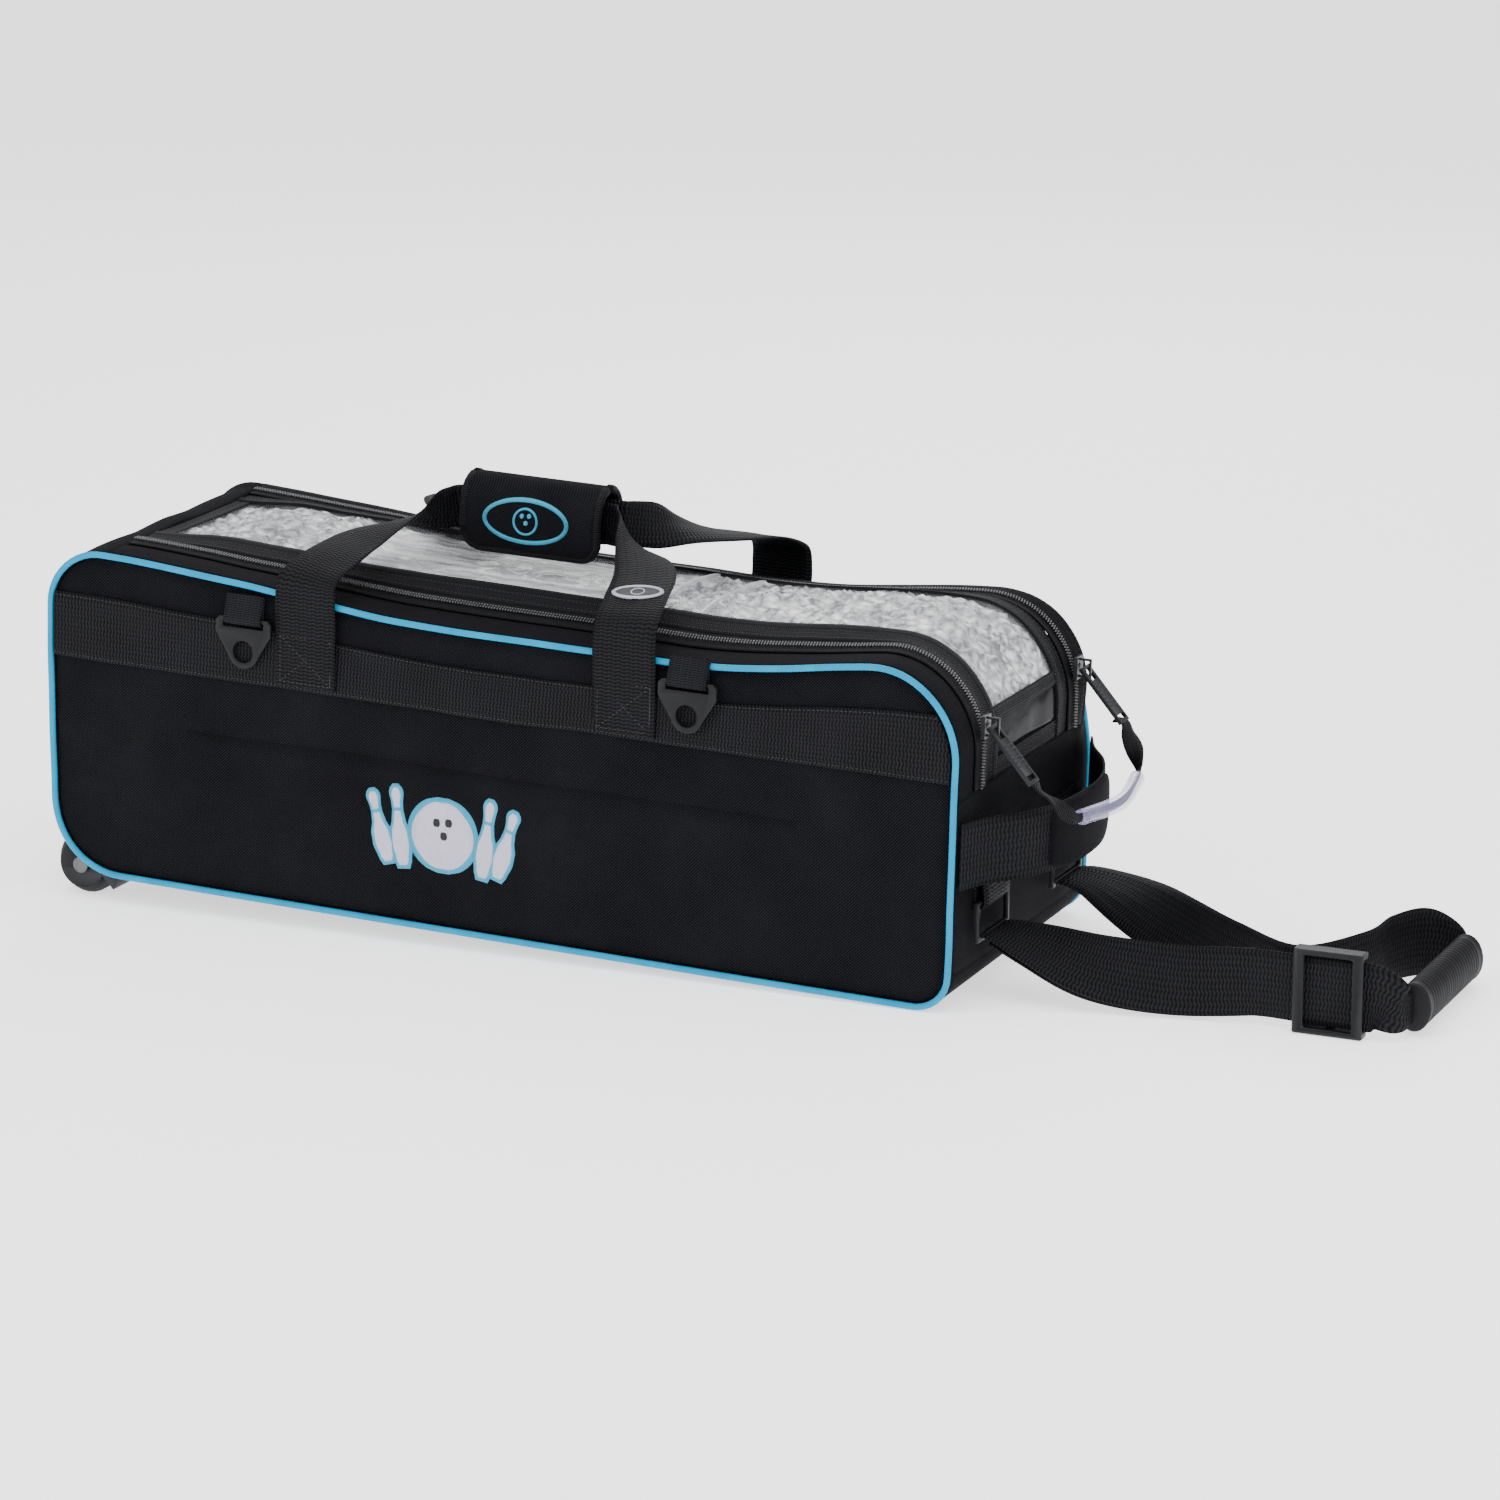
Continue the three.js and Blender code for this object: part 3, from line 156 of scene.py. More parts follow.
def settle(x, y, z):
    """Where a point of the bag's cloth ends up: sagged, bellied and softly uneven."""
    hang = smooth(-345, -20, x) * (1 - smooth(140, 370, x))
    high = smooth(165, 252, z)
    sag = high * (TOP_SAG * hang * (0.55 + 0.45 * smooth(60, 130, abs(y))) + REAR_DROP * smooth(105, 137, y)
                  - 0.7 * REAR_PUFF * smooth(96, 110, y))
    lift = 1 - min(1.0, ((z - 92) / 120) ** 2)
    reach = 1 - min(1.0, (abs(x) / 400) ** 4)
    belly = BELLY * lift * reach * min(1.0, abs(y) / HALF_W) ** 2
    broad = noise.noise_vector(Vector((x, y, z)) / 135 + Vector((3.1, 7.7, 1.3))) * 2.6
    fine = noise.noise_vector(Vector((x, y, z)) / 48 + Vector((9.2, 0.4, 5.5))) * 0.9
    calm = smooth(-2, 60, z)
    shift = (broad + fine) * calm
    tuck = REAR_TUCK * smooth(108, 137, y) - REAR_PUFF * smooth(96, 110, y)
    tuck *= smooth(120, 215, z) * smooth(150, 330, x)
    return Vector((x - tuck + shift.x * 0.6, y + math.copysign(belly, y) + shift.y,
                   z - sag + shift.z * 0.7))


def outline_segments():
    """Straight and round stretches of the panel's edge, from the middle of its base."""
    a, b, c, d = CORNER_BASE_PULL, CORNER_TOP_PULL, CORNER_TOP_WHEEL, CORNER_BASE_WHEEL
    quarter = math.pi / 2
    plan = [("line", (0, 0), (1, 0), HALF_L - a), ("corner", (HALF_L - a, a), a, -quarter),
            ("line", (HALF_L, a), (0, 1), HEIGHT - a - b), ("corner", (HALF_L - b, HEIGHT - b), b, 0.0),
            ("line", (HALF_L - b, HEIGHT), (-1, 0), LENGTH - b - c),
            ("corner", (c - HALF_L, HEIGHT - c), c, quarter),
            ("line", (-HALF_L, HEIGHT - c), (0, -1), HEIGHT - c - d),
            ("corner", (d - HALF_L, d), d, 2 * quarter), ("line", (d - HALF_L, 0), (1, 0), HALF_L - d)]
    found, start = [], 0.0
    for kind, at, way, size in plan:
        length = size if kind == "line" else way * quarter
        found.append((kind, at, way, size, start, start + length))
        start += length
    return found


SEGMENTS = outline_segments()
ROUND = SEGMENTS[-1][5]


def on_outline(s, depth=0.0):
    """(x, z) of the point s along the edge, moved inwards by depth."""
    s = s % ROUND
    for kind, at, way, size, start, end in SEGMENTS:
        if s <= end + 1e-9:
            break
    along = s - start
    if kind == "line":
        return at[0] + way[0] * along - way[1] * depth, at[1] + way[1] * along + way[0] * depth
    angle = size + along / way
    return at[0] + (way - depth) * math.cos(angle), at[1] + (way - depth) * math.sin(angle)


def on_pull_end(z):
    return SEGMENTS[2][4] + z - CORNER_BASE_PULL


def on_top(x):
    return SEGMENTS[4][4] + HALF_L - CORNER_TOP_PULL - x


def on_wheel_end(z):
    return SEGMENTS[6][4] + HEIGHT - CORNER_TOP_WHEEL - z


def steps(start, end, pitch):
    count = max(2, math.ceil(abs(end - start) / pitch))
    return [start + (end - start) * i / count for i in range(count + 1)]


def piece_from(name, points, faces, uvs, material):
    """A mesh object from places in metres, with a UV map in metres of cloth."""
    mesh = bpy.data.meshes.new(name)
    mesh.from_pydata(points, [], faces)
    if uvs is not None:
        layer = mesh.uv_layers.new(name="cloth")
        for loop in mesh.loops:
            layer.data[loop.index].uv = uvs[loop.vertex_index]
    mesh.validate()
    mesh.shade_smooth()
    mesh.materials.append(material)
    return into_scene(name, mesh)


def tidy_mesh(item, reach=1e-5):
    """Joins points that meet, and turns the faces outwards."""
    work = bmesh.new()
    work.from_mesh(item.data)
    bmesh.ops.remove_doubles(work, verts=work.verts, dist=reach)
    bmesh.ops.dissolve_degenerate(work, edges=work.edges, dist=reach / 4)
    bmesh.ops.recalc_face_normals(work, faces=work.faces)
    work.to_mesh(item.data)
    work.free()
    return item


def slab(name, face, back, uv, material, closed=False):
    """A closed sheet between two grids of places; closed joins the first row to the last."""
    rows, columns = len(face), len(face[0])
    points = [p for row in face for p in row] + [p for row in back for p in row]
    uvs = [p for row in uv for p in row] * 2
    offset = rows * columns
    faces = []
    spans = rows if closed else rows - 1
    for i in range(spans):
        k = (i + 1) % rows
        for j in range(columns - 1):
            a, b, c, d = i * columns + j, i * columns + j + 1, k * columns + j + 1, k * columns + j
            faces.append((a, b, c, d))
            faces.append((offset + d, offset + c, offset + b, offset + a))
        for j in (0, columns - 1):
            a, d = i * columns + j, k * columns + j
            faces.append((a, d, offset + d, offset + a) if j == 0 else (d, a, offset + a, offset + d))
    if not closed:
        for i in (0, rows - 1):
            for j in range(columns - 1):
                a, b = i * columns + j, i * columns + j + 1
                faces.append((b, a, offset + a, offset + b) if i == 0 else (a, b, offset + b, offset + a))
    return piece_from(name, points, faces, uvs, material)


def cloth_sheet(name, runs, overs, spot, material, closed=False, reach=1e-5):
    """A sheet whose spot(run, over) gives a place on its face, one on its back, and its UV."""
    grid = [[spot(run, over) for over in overs] for run in runs]
    face, back, uv = ([[spots[k] for spots in row] for row in grid] for k in range(3))
    return tidy_mesh(slab(name, face, back, uv, material, closed), reach)


def fitted(piece, body, slot, nodes=None):
    """Fixes a finished piece to its body and hides the solids it stands for; slot is not used."""
    if body:
        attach(piece, body)
    if nodes is not None:
        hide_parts(*nodes)
    return piece


class Looks:
    """A node material: nodes are added by type, and values set on sockets."""

    def __init__(self, name, color, roughness, **sockets):
        self.material = bpy.data.materials.new(name)
        self.material.use_nodes = True
        self.tree = self.material.node_tree
        self.surface = self.tree.nodes["Principled BSDF"]
        self.surface.inputs["Base Color"].default_value = (*color, 1)
        self.surface.inputs["Roughness"].default_value = roughness
        for socket, value in sockets.items():
            self.surface.inputs[socket.replace("_", " ")].default_value = value

    def node(self, kind, links=(), **settings):
        made = self.tree.nodes.new(kind)
        for key, value in settings.items():
            if key in made.bl_rna.properties:
                setattr(made, key, value)
            else:
                made.inputs[key.replace("_", " ")].default_value = value
        for socket, source in dict(links).items():
            self.tree.links.new(source, made.inputs[socket])
        return made

    def math(self, operation, first, second=None, third=None):
        made = self.tree.nodes.new("ShaderNodeMath")
        made.operation = operation
        for socket, value in zip(made.inputs, (first, second, third)):
            if value is None:
                continue
            if isinstance(value, (int, float)):
                socket.default_value = value
            else:
                self.tree.links.new(value, socket)
        return made.outputs[0]

    def cloth_axes(self):
        """Metres along and across the cloth, from the piece's own UV map."""
        place = self.node("ShaderNodeUVMap", uv_map="cloth")
        split = self.node("ShaderNodeSeparateXYZ", {"Vector": place.outputs["UV"]})
        return split.outputs["X"], split.outputs["Y"]

    def wave(self, along, pitch):
        """0 to 1 and back, once each pitch."""
        turn = self.math("MULTIPLY", along, 2 * math.pi / pitch)
        return self.math("MULTIPLY_ADD", self.math("SINE", turn), 0.5, 0.5)

    def grain(self, scale, detail=3.0, rough=0.6):
        place = self.node("ShaderNodeTexCoord").outputs["Object"]
        return self.node("ShaderNodeTexNoise", {"Vector": place}, Scale=scale, Detail=detail,
                         Roughness=rough).outputs["Fac"]

    def tint(self, factor, dark, light):
        mix = self.node("ShaderNodeMix", data_type="RGBA")
        mix.inputs["A"].default_value = (*dark, 1)
        mix.inputs["B"].default_value = (*light, 1)
        self.tree.links.new(factor, mix.inputs["Factor"])
        self.tree.links.new(mix.outputs["Result"], self.surface.inputs["Base Color"])

    def relief(self, height, depth, strength=1.0):
        bump = self.node("ShaderNodeBump", {"Height": height})
        bump.inputs["Distance"].default_value = depth
        bump.inputs["Strength"].default_value = strength
        self.tree.links.new(bump.outputs["Normal"], self.surface.inputs["Normal"])

    def shine(self, factor, low, high):
        spread = self.node("ShaderNodeMapRange", {"Value": factor}, To_Min=low, To_Max=high)
        self.tree.links.new(spread.outputs["Result"], self.surface.inputs["Roughness"])


def woven_fabric(name, dark, light, pitch):
    """Plain weave of thick yarns: warp and weft pass over each other in turn. Its colour is painted lighter
    on the yarn crossings as a painted highlight and darker between them as painted shade, over a random
    tone.
    """
    look = Looks(name, dark, 0.78, Specular_IOR_Level=0.05)
    u, v = look.cloth_axes()
    warp = look.wave(look.math("ADD", u, v), pitch)
    weft = look.wave(look.math("SUBTRACT", u, v), pitch * 1.04)
    yarn = look.math("MULTIPLY", warp, weft)
    fuzz = look.grain(900, 2)
    uneven = look.grain(14, 4)
    height = look.math("ADD", yarn, look.math("MULTIPLY", fuzz, 0.35))
    # painted highlight on the yarn crossings and painted shade between them, plus a random tone
    shade = look.math("MULTIPLY_ADD", yarn, 1.1, look.math("MULTIPLY_ADD", uneven, 0.5, -0.2))
    look.tint(shade, dark, light)
    look.relief(height, 0.0008, 0.85)
    look.shine(uneven, 0.7, 0.88)
    return look.material


FABRIC = woven_fabric("bag_fabric", (0.0003, 0.0003, 0.0005), (0.019, 0.019, 0.024), 0.0023)
PANEL_EDGE = max(GUSSET_T, 2 * PIPING_R - PIPING_PROUD) + GAP


def pucker(s, inset):
    """Small gathers where the panel is sewn to its piping."""
    fade = math.exp(-inset / 9) - math.exp(-inset / 2.5)
    return 0.9 * fade * noise.noise(Vector((s / 9.0, 0.3, 4.1)))


RINGS = [0, 0.012, 0.03, 0.06, 0.1, 0.16, 0.24, 0.33, 0.43, 0.54, 0.66, 0.78, 0.9, 1.0]
CORE_INSET, EDGE_ROLL = 120, 2.2


def side_panel(side, label):
    """Rings of points from the sewn edge in to a line along the panel's middle."""
    def spot(s, t):
        edge_x, edge_z = on_outline(s, PANEL_EDGE)
        core_x = min(max(edge_x, CORE_INSET - HALF_L), HALF_L - CORE_INSET)
        x = edge_x + (core_x - edge_x) * t
        z = edge_z + (HEIGHT / 2 - edge_z) * t
        inset = math.hypot(x - edge_x, z - edge_z)
        roll = EDGE_ROLL * (1 - smooth(0, 9, inset))
        y = side * (HALF_W - roll + pucker(s, inset))
        return (from_bag(settle(x, y, z)), from_bag(settle(x, side * (HALF_W - PANEL_T), z)),
                (x / 1000, z / 1000))

    panel = cloth_sheet(f"side_panel_{label}", steps(0, ROUND, 7)[:-1], RINGS, spot, FABRIC, True, 2e-5)
    fitted(panel, "bag", "bag_fabric", [f"{label}_panel"])


for side, label in SIDES:
    side_panel(side, label)

# ---- Piping ------------------------------------------------------------------
# Sky blue vinyl cord sewn into the seam all round each side panel.  The vinyl is
# satin, with a faint line where its two edges are caught in the seam.
def mottled(name, color, roughness, tone_and_glint_grain, dark, light, pits=None, shine=None, **sockets):
    """A solid finish with an uneven tint, fine pits and an uneven shine."""
    look = Looks(name, color, roughness, **sockets)
    patches = look.grain(*tone_and_glint_grain)
    look.tint(patches, dark, light)
    if pits:
        look.relief(look.grain(*pits[:2]), *pits[2:])
    if shine:
        look.shine(patches, *shine)
    return look.material


PIPING = mottled("piping_vinyl", (0.0, 0.30, 0.52), 0.45, (45, 4), (0.0, 0.18, 0.34), (0.0, 0.31, 0.53),
                 (420, 3, 0.0004, 0.5), (0.26, 0.42), Specular_IOR_Level=0.05)


def ring_skin(name, rings, uvs, material, closed=False):
    """A skin over rings of places, capped at both ends unless it is closed."""
    count, sides = len(rings), len(rings[0])
    faces = []
    for i in range(count if closed else count - 1):
        k = (i + 1) % count
        for j in range(sides):
            m = (j + 1) % sides
            faces.append((i * sides + j, i * sides + m, k * sides + m, k * sides + j))
    if not closed:
        faces.append(tuple(range(sides))[::-1])
        faces.append(tuple((count - 1) * sides + j for j in range(sides)))
    return tidy_mesh(piece_from(name, [p for ring in rings for p in ring], faces, uvs, material))


def tube(name, centres, sides, radius, material, closed=False, squeeze=1.0, ups=None):
    """A round bar along a row of places in metres; squeeze flattens it along its up."""
    count = len(centres)
    rows, uvs, run = [], [], 0.0
    for i, centre in enumerate(centres):
        before = centres[i - 1] if (closed or i) else centres[0]
        after = centres[(i + 1) % count] if (closed or i < count - 1) else centres[-1]
        along = (after - before).normalized()
        up = Vector(ups[i]) if ups else Vector((0, 1, 0))
        across = along.cross(up).normalized()
        up = across.cross(along)
        size = radius[i] if isinstance(radius, (list, tuple)) else radius
        if i:
            run += (centre - centres[i - 1]).length
        ring, marks = [], []
        for j in range(sides):
            angle = 2 * math.pi * j / sides
            ring.append(centre + across * (size * math.cos(angle)) + up * (size * squeeze * math.sin(angle)))
            marks.append((run, size * angle))
        rows.append(ring)
        uvs.append(marks)
    return ring_skin(name, rows, [m for ring in uvs for m in ring], material, closed)


PIPING_SHOWN_R = 2.5
for side, label in SIDES:
    line = []
    for s in steps(0, ROUND, 6)[:-1]:
        x, z = on_outline(s, PIPING_R - PIPING_PROUD)
        line.append(from_bag(settle(x, side * HALF_W, z)))
    cord = tube(f"piping_{label}", line, 12, PIPING_SHOWN_R / 1000, PIPING, closed=True)
    fitted(cord, "bag", "piping", [f"{label}_piping"])

# ---- Ends and base -----------------------------------------------------------
# One strip of the same polyester runs round the bag between the side panels: up
# the wheel end, under the base and up the pull end as far as the lid.
GUSSET_HALF = HALF_W - PIPING_R - 2 * GAP
LID_START, LID_TIP_Z = 50.0, 158.0
ZIP_Y, ZIP_TAPE = 94.0, 11.5
WHEEL_R, WHEEL_DROP, WHEEL_INSET, WHEEL_SIDE = 25.0, 22.0, 21.0, 26.0
AXLE = (WHEEL_INSET - HALF_L, WHEEL_R - WHEEL_DROP)
HOUSING_R, HOUSING_HALF = 33.1, 18.6


def strip(name, s0, s1, y0, y1, depth, thick, material, body, nodes, slot, pitch=(6, 7), swell=None):
    """A length of the band round the bag, from y0 to y1, that follows the settled cloth."""
    def spot(s, y):
        x, z = on_outline(s, depth - (swell(s, y) if swell else 0.0))
        deep_x, deep_z = on_outline(s, depth + thick)
        return from_bag(settle(x, y, z)), from_bag(settle(deep_x, y, deep_z)), (s / 1000, y / 1000)

    made = cloth_sheet(name, steps(s0, s1, pitch[0]), steps(y0, y1, pitch[1]), spot, material)
    return fitted(made, body, slot, nodes)


def end_swell(s, y):
    """The ends bulge softly, and are drawn in where they meet the piping."""
    inside = 1 - (abs(y) / GUSSET_HALF) ** 4
    return 2.4 * inside * (0.6 + noise.noise(Vector((s / 55, y / 60, 2.2)))) - 0.6 * (1 - inside)


strip("end_panel_pull", on_pull_end(CORNER_BASE_PULL) + GAP, on_pull_end(LID_TIP_Z), -GUSSET_HALF,
      GUSSET_HALF, 0, GUSSET_T, FABRIC, "bag", ["pull_end_panel"], "bag_fabric", swell=end_swell)
strip("end_panel_wheel", on_top(LID_START - HALF_L) + GAP, on_wheel_end(CORNER_BASE_WHEEL),
      -GUSSET_HALF, GUSSET_HALF, 0, GUSSET_T, FABRIC, "bag", ["wheel_end_panel"], "bag_fabric",
      swell=end_swell)
strip("base_cloth", SEGMENTS[7][5] + GAP, ROUND + on_pull_end(CORNER_BASE_PULL), -GUSSET_HALF,
      GUSSET_HALF, 0, GUSSET_T, FABRIC, "bag", ["base_panel"], "bag_fabric", pitch=(12, 12))


def corner_cloth():
    """The lower wheel-end corner, cut away round the two wheel housings."""
    made = strip("corner_cloth_wheel", on_wheel_end(CORNER_BASE_WHEEL) + GAP, SEGMENTS[7][5],
                 -GUSSET_HALF, GUSSET_HALF, 0, GUSSET_T, FABRIC, "bag", ["wheel_corner_panel"],
                 "bag_fabric", pitch=(4, 6))
    for side in (-1, 1):
        middle = side * (HALF_W - WHEEL_SIDE)
        tool = bpy.data.meshes.new("housing_room")
        work = bmesh.new()
        bmesh.ops.create_cone(work, cap_ends=True, segments=48, radius1=HOUSING_R / 1000,
                              radius2=HOUSING_R / 1000, depth=2 * HOUSING_HALF / 1000,
                              matrix=Matrix.Translation(from_bag((AXLE[0], middle, AXLE[1])))
                              @ Matrix.Rotation(math.pi / 2, 4, "X"))
        work.to_mesh(tool)
        work.free()
        cutter = into_scene("housing_room", tool)
        cut = made.modifiers.new("room", "BOOLEAN")
        cut.operation = "DIFFERENCE"
        cut.object = cutter
        cut.solver = "EXACT"
        bake_modifiers(made)
        bpy.data.objects.remove(cutter)
    return made


def bake_modifiers(item):
    """Makes the modified mesh the piece's own."""
    bpy.context.view_layer.update()
    made = bpy.data.meshes.new_from_object(item.evaluated_get(bpy.context.evaluated_depsgraph_get()))
    item.modifiers.clear()
    item.data = made
    return item


corner_cloth()

# ---- Side bands --------------------------------------------------------------
# A 50 mm ribbed webbing is sewn along each side panel below its upper edge.  It
# is polypropylene: coarse ribs across, with a selvedge along both edges.
WEBBING_W, WEBBING_T = 50.0, 1.6
BAND_Z = 196.0
BAND_FACE = HALF_W + GAP + WEBBING_T


def ribbed_webbing(name, dark, light, rib, row):
    look = Looks(name, dark, 0.7, Specular_IOR_Level=0.08)
    along, over = look.cloth_axes()
    lean = look.math("MULTIPLY", look.math("PINGPONG", over, row), 0.3)
    ribs = look.wave(look.math("ADD", along, lean), rib)
    rows = look.wave(over, row)
    height = look.math("ADD", look.math("MULTIPLY", ribs, 0.75), look.math("MULTIPLY", rows, 0.25))
    fuzz = look.grain(700, 2)
    # The colour follows the rib height: painted highlight on the ribs and painted shade in the grooves, plus
    # a random tone.
    shade = look.math("MULTIPLY_ADD", height, 1.1, look.math("MULTIPLY_ADD", look.grain(20, 3), 0.5, -0.3))
    look.tint(shade, dark, light)
    look.relief(look.math("ADD", height, look.math("MULTIPLY", fuzz, 0.25)), 0.0007, 0.9)
    look.shine(ribs, 0.68, 0.5)
    return look.material


WEBBING = ribbed_webbing("webbing", (0.0002, 0.0002, 0.0003), (0.012, 0.012, 0.0145), 0.0028, 0.0036)


def on_panel(x, z, side, proud):
    """A place on a side panel's cloth, proud of it by so many millimetres."""
    return from_bag(settle(x, side * (HALF_W + proud), z))


def span_at(z, inset):
    """The pull end and the wheel end of the side panel at a height, moved in by inset."""
    def end(radius):
        over = max(0.0, z - (HEIGHT - radius))
        reach = radius - inset
        return HALF_L - radius + math.sqrt(max(0.0, reach * reach - over * over))
    return end(CORNER_TOP_PULL), -end(CORNER_TOP_WHEEL)


def side_band(side, label):
    def spot(f, v):
        z = BAND_Z + v
        right, left = span_at(z, PANEL_EDGE + 0.4)
        x = left + (right - left) * (f + 1) / 2
        return (on_panel(x, z, side, GAP + WEBBING_T), on_panel(x, z, side, GAP - 1.0),
                (x / 1000, v / 1000))

    band = cloth_sheet(f"side_band_{label}", steps(-1, 1, 0.017), steps(-WEBBING_W / 2, WEBBING_W / 2, 6),
                       spot, WEBBING)
    fitted(band, "bag", "webbing", [f"{label}_band"])


for side, label in SIDES:
    side_band(side, label)

# ---- Lid ---------------------------------------------------------------------
# The lid is a black border round a clear window.  Its border is bound with ribbed
# tape and hemmed at both ends, and its tip hangs over the pull end.
LID_BORDER, LID_HEM, LID_T = 20.0, 14.0, 3.0
TAPE_IN, TAPE_OUT = ZIP_Y - ZIP_TAPE, ZIP_Y + ZIP_TAPE
WINDOW_HALF = TAPE_IN - LID_BORDER
LID_FOLD_X = 160.0
LID_FROM = on_pull_end(LID_TIP_Z) + GAP
LID_TO = on_top(LID_START - HALF_L)
FOLD_SOFT = 16.0
LID_CROWN = 11.0
FOLD = (from_bag((LID_FOLD_X - FOLD_SOFT, 0, HEIGHT)), from_bag((LID_FOLD_X + FOLD_SOFT, 0, HEIGHT)))


def lid_crown(s, y):
    """The load and the packing push the lid up between its zips."""
    along = smooth(LID_FROM + 60, LID_FROM + 190, s) * (1 - smooth(LID_TO - 70, LID_TO, s))
    return LID_CROWN * along * max(0.0, 1 - (y / ZIP_Y) ** 2)


def bind_roll(s, y):
    """A bound edge is thicker than the strip it closes."""
    edge = min(abs(abs(y) - WINDOW_HALF), 9.0)
    dents = 0.25 * noise.noise(Vector((s / 17, y / 9, 8)))
    return lid_crown(s, y) + 0.9 * (1 - smooth(4.2, 7.5, edge)) + dents


BINDING = ribbed_webbing("binding", (0.001, 0.001, 0.0013), (0.014, 0.014, 0.017), 0.0017, 0.0026)


def folds(piece):
    """Bends a piece that crosses the lid's fold."""
    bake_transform(piece, "bag", "lid_end", start=FOLD[0], end=FOLD[1])


def lid_part(name, s0, s1, y0, y1, thick, material, nodes, slot, body=None, depth=0.0, **more):
    """A strip of the lid; without a body of its own it bends where the lid folds."""
    made = strip(name, s0, s1, y0, y1, depth, thick, material, body, nodes, slot, **more)
    if body is None:
        folds(made)


for side, label in SIDES:
    span = sorted((side * (WINDOW_HALF - 1), side * TAPE_IN))
    lid_part(f"lid_side_{label}", LID_FROM, LID_TO, *span, LID_T, BINDING,
             ["lid_border", "lid_end_border"], "binding", pitch=(5, 2.2), swell=bind_roll)
    strip_span = sorted((side * (TAPE_OUT + GAP), side * GUSSET_HALF))
    strip(f"top_strip_{label}", LID_FROM, LID_TO, *strip_span, 0, GUSSET_T, FABRIC, "bag",
          [f"{label}_top_strip"], "bag_fabric", pitch=(6, 4),
          swell=lambda s, y: 1.2 * math.sin(math.pi * (abs(y) - TAPE_OUT) / (GUSSET_HALF - TAPE_OUT)))
lid_part("lid_hem_wheel", LID_TO - LID_HEM, LID_TO, -WINDOW_HALF, WINDOW_HALF, LID_T, BINDING,
         ["lid_border"], "binding", body="bag", pitch=(2.4, 6), swell=lid_crown)
lid_part("lid_hem_pull", LID_FROM, LID_FROM + LID_HEM, -WINDOW_HALF, WINDOW_HALF, LID_T + 0.5, BINDING,
         ["lid_end_border"], "binding", body="lid_end", pitch=(2.4, 6), swell=lid_crown)

# ---- Window and packing film -------------------------------------------------
# The window is clear flexible vinyl with two welds across it near the fold.  Under
# it lies the crumpled clear film that the new bag is packed with.
PATCH_TOP = 205.0
PATCH_SEAM = on_pull_end(HEIGHT - CORNER_TOP_PULL) + CORNER_TOP_PULL * math.asin(
    (PATCH_TOP - HEIGHT + CORNER_TOP_PULL) / CORNER_TOP_PULL)


def clear_vinyl():
    look = Looks("clear_vinyl", (0.9, 0.92, 0.95), 0.07, Alpha=0.09, IOR=1.5, Specular_IOR_Level=0.8,
                 Coat_Weight=0.6, Coat_Roughness=0.04)
    ripple = look.grain(16, 4)
    look.relief(ripple, 0.006, 0.6)
    look.shine(look.grain(60, 3), 0.04, 0.16)
    look.material.surface_render_method = "BLENDED"
    return look.material


VINYL = clear_vinyl()


def window_swell(s, y):
    """The sheet follows the crown of the lid, with soft dents."""
    return lid_crown(s, y) + 0.8 * noise.noise(Vector((s / 30, y / 30, 1.7)))


lid_part("lid_window_vinyl", PATCH_SEAM, LID_TO - LID_HEM / 2, -WINDOW_HALF, WINDOW_HALF, 0.9, VINYL,
         ["lid_window", "lid_end_window"], "clear_vinyl", depth=0.9, pitch=(6, 6), swell=window_swell)

WELD = mottled("vinyl_weld", (0.34, 0.35, 0.38), 0.18, (90, 3), (0.16, 0.17, 0.19), (0.62, 0.64, 0.68),
               (240, 2, 0.0004, 0.6), Specular_IOR_Level=0.6)
for label, x in (("wheel_side", 96), ("pull_side", 134)):
    lid_part(f"window_weld_{label}", on_top(x) - 1.1, on_top(x) + 1.1, -WINDOW_HALF, WINDOW_HALF, 0.7,
             WELD, [], "clear_vinyl", depth=-0.3, pitch=(0.55, 5), swell=window_swell)


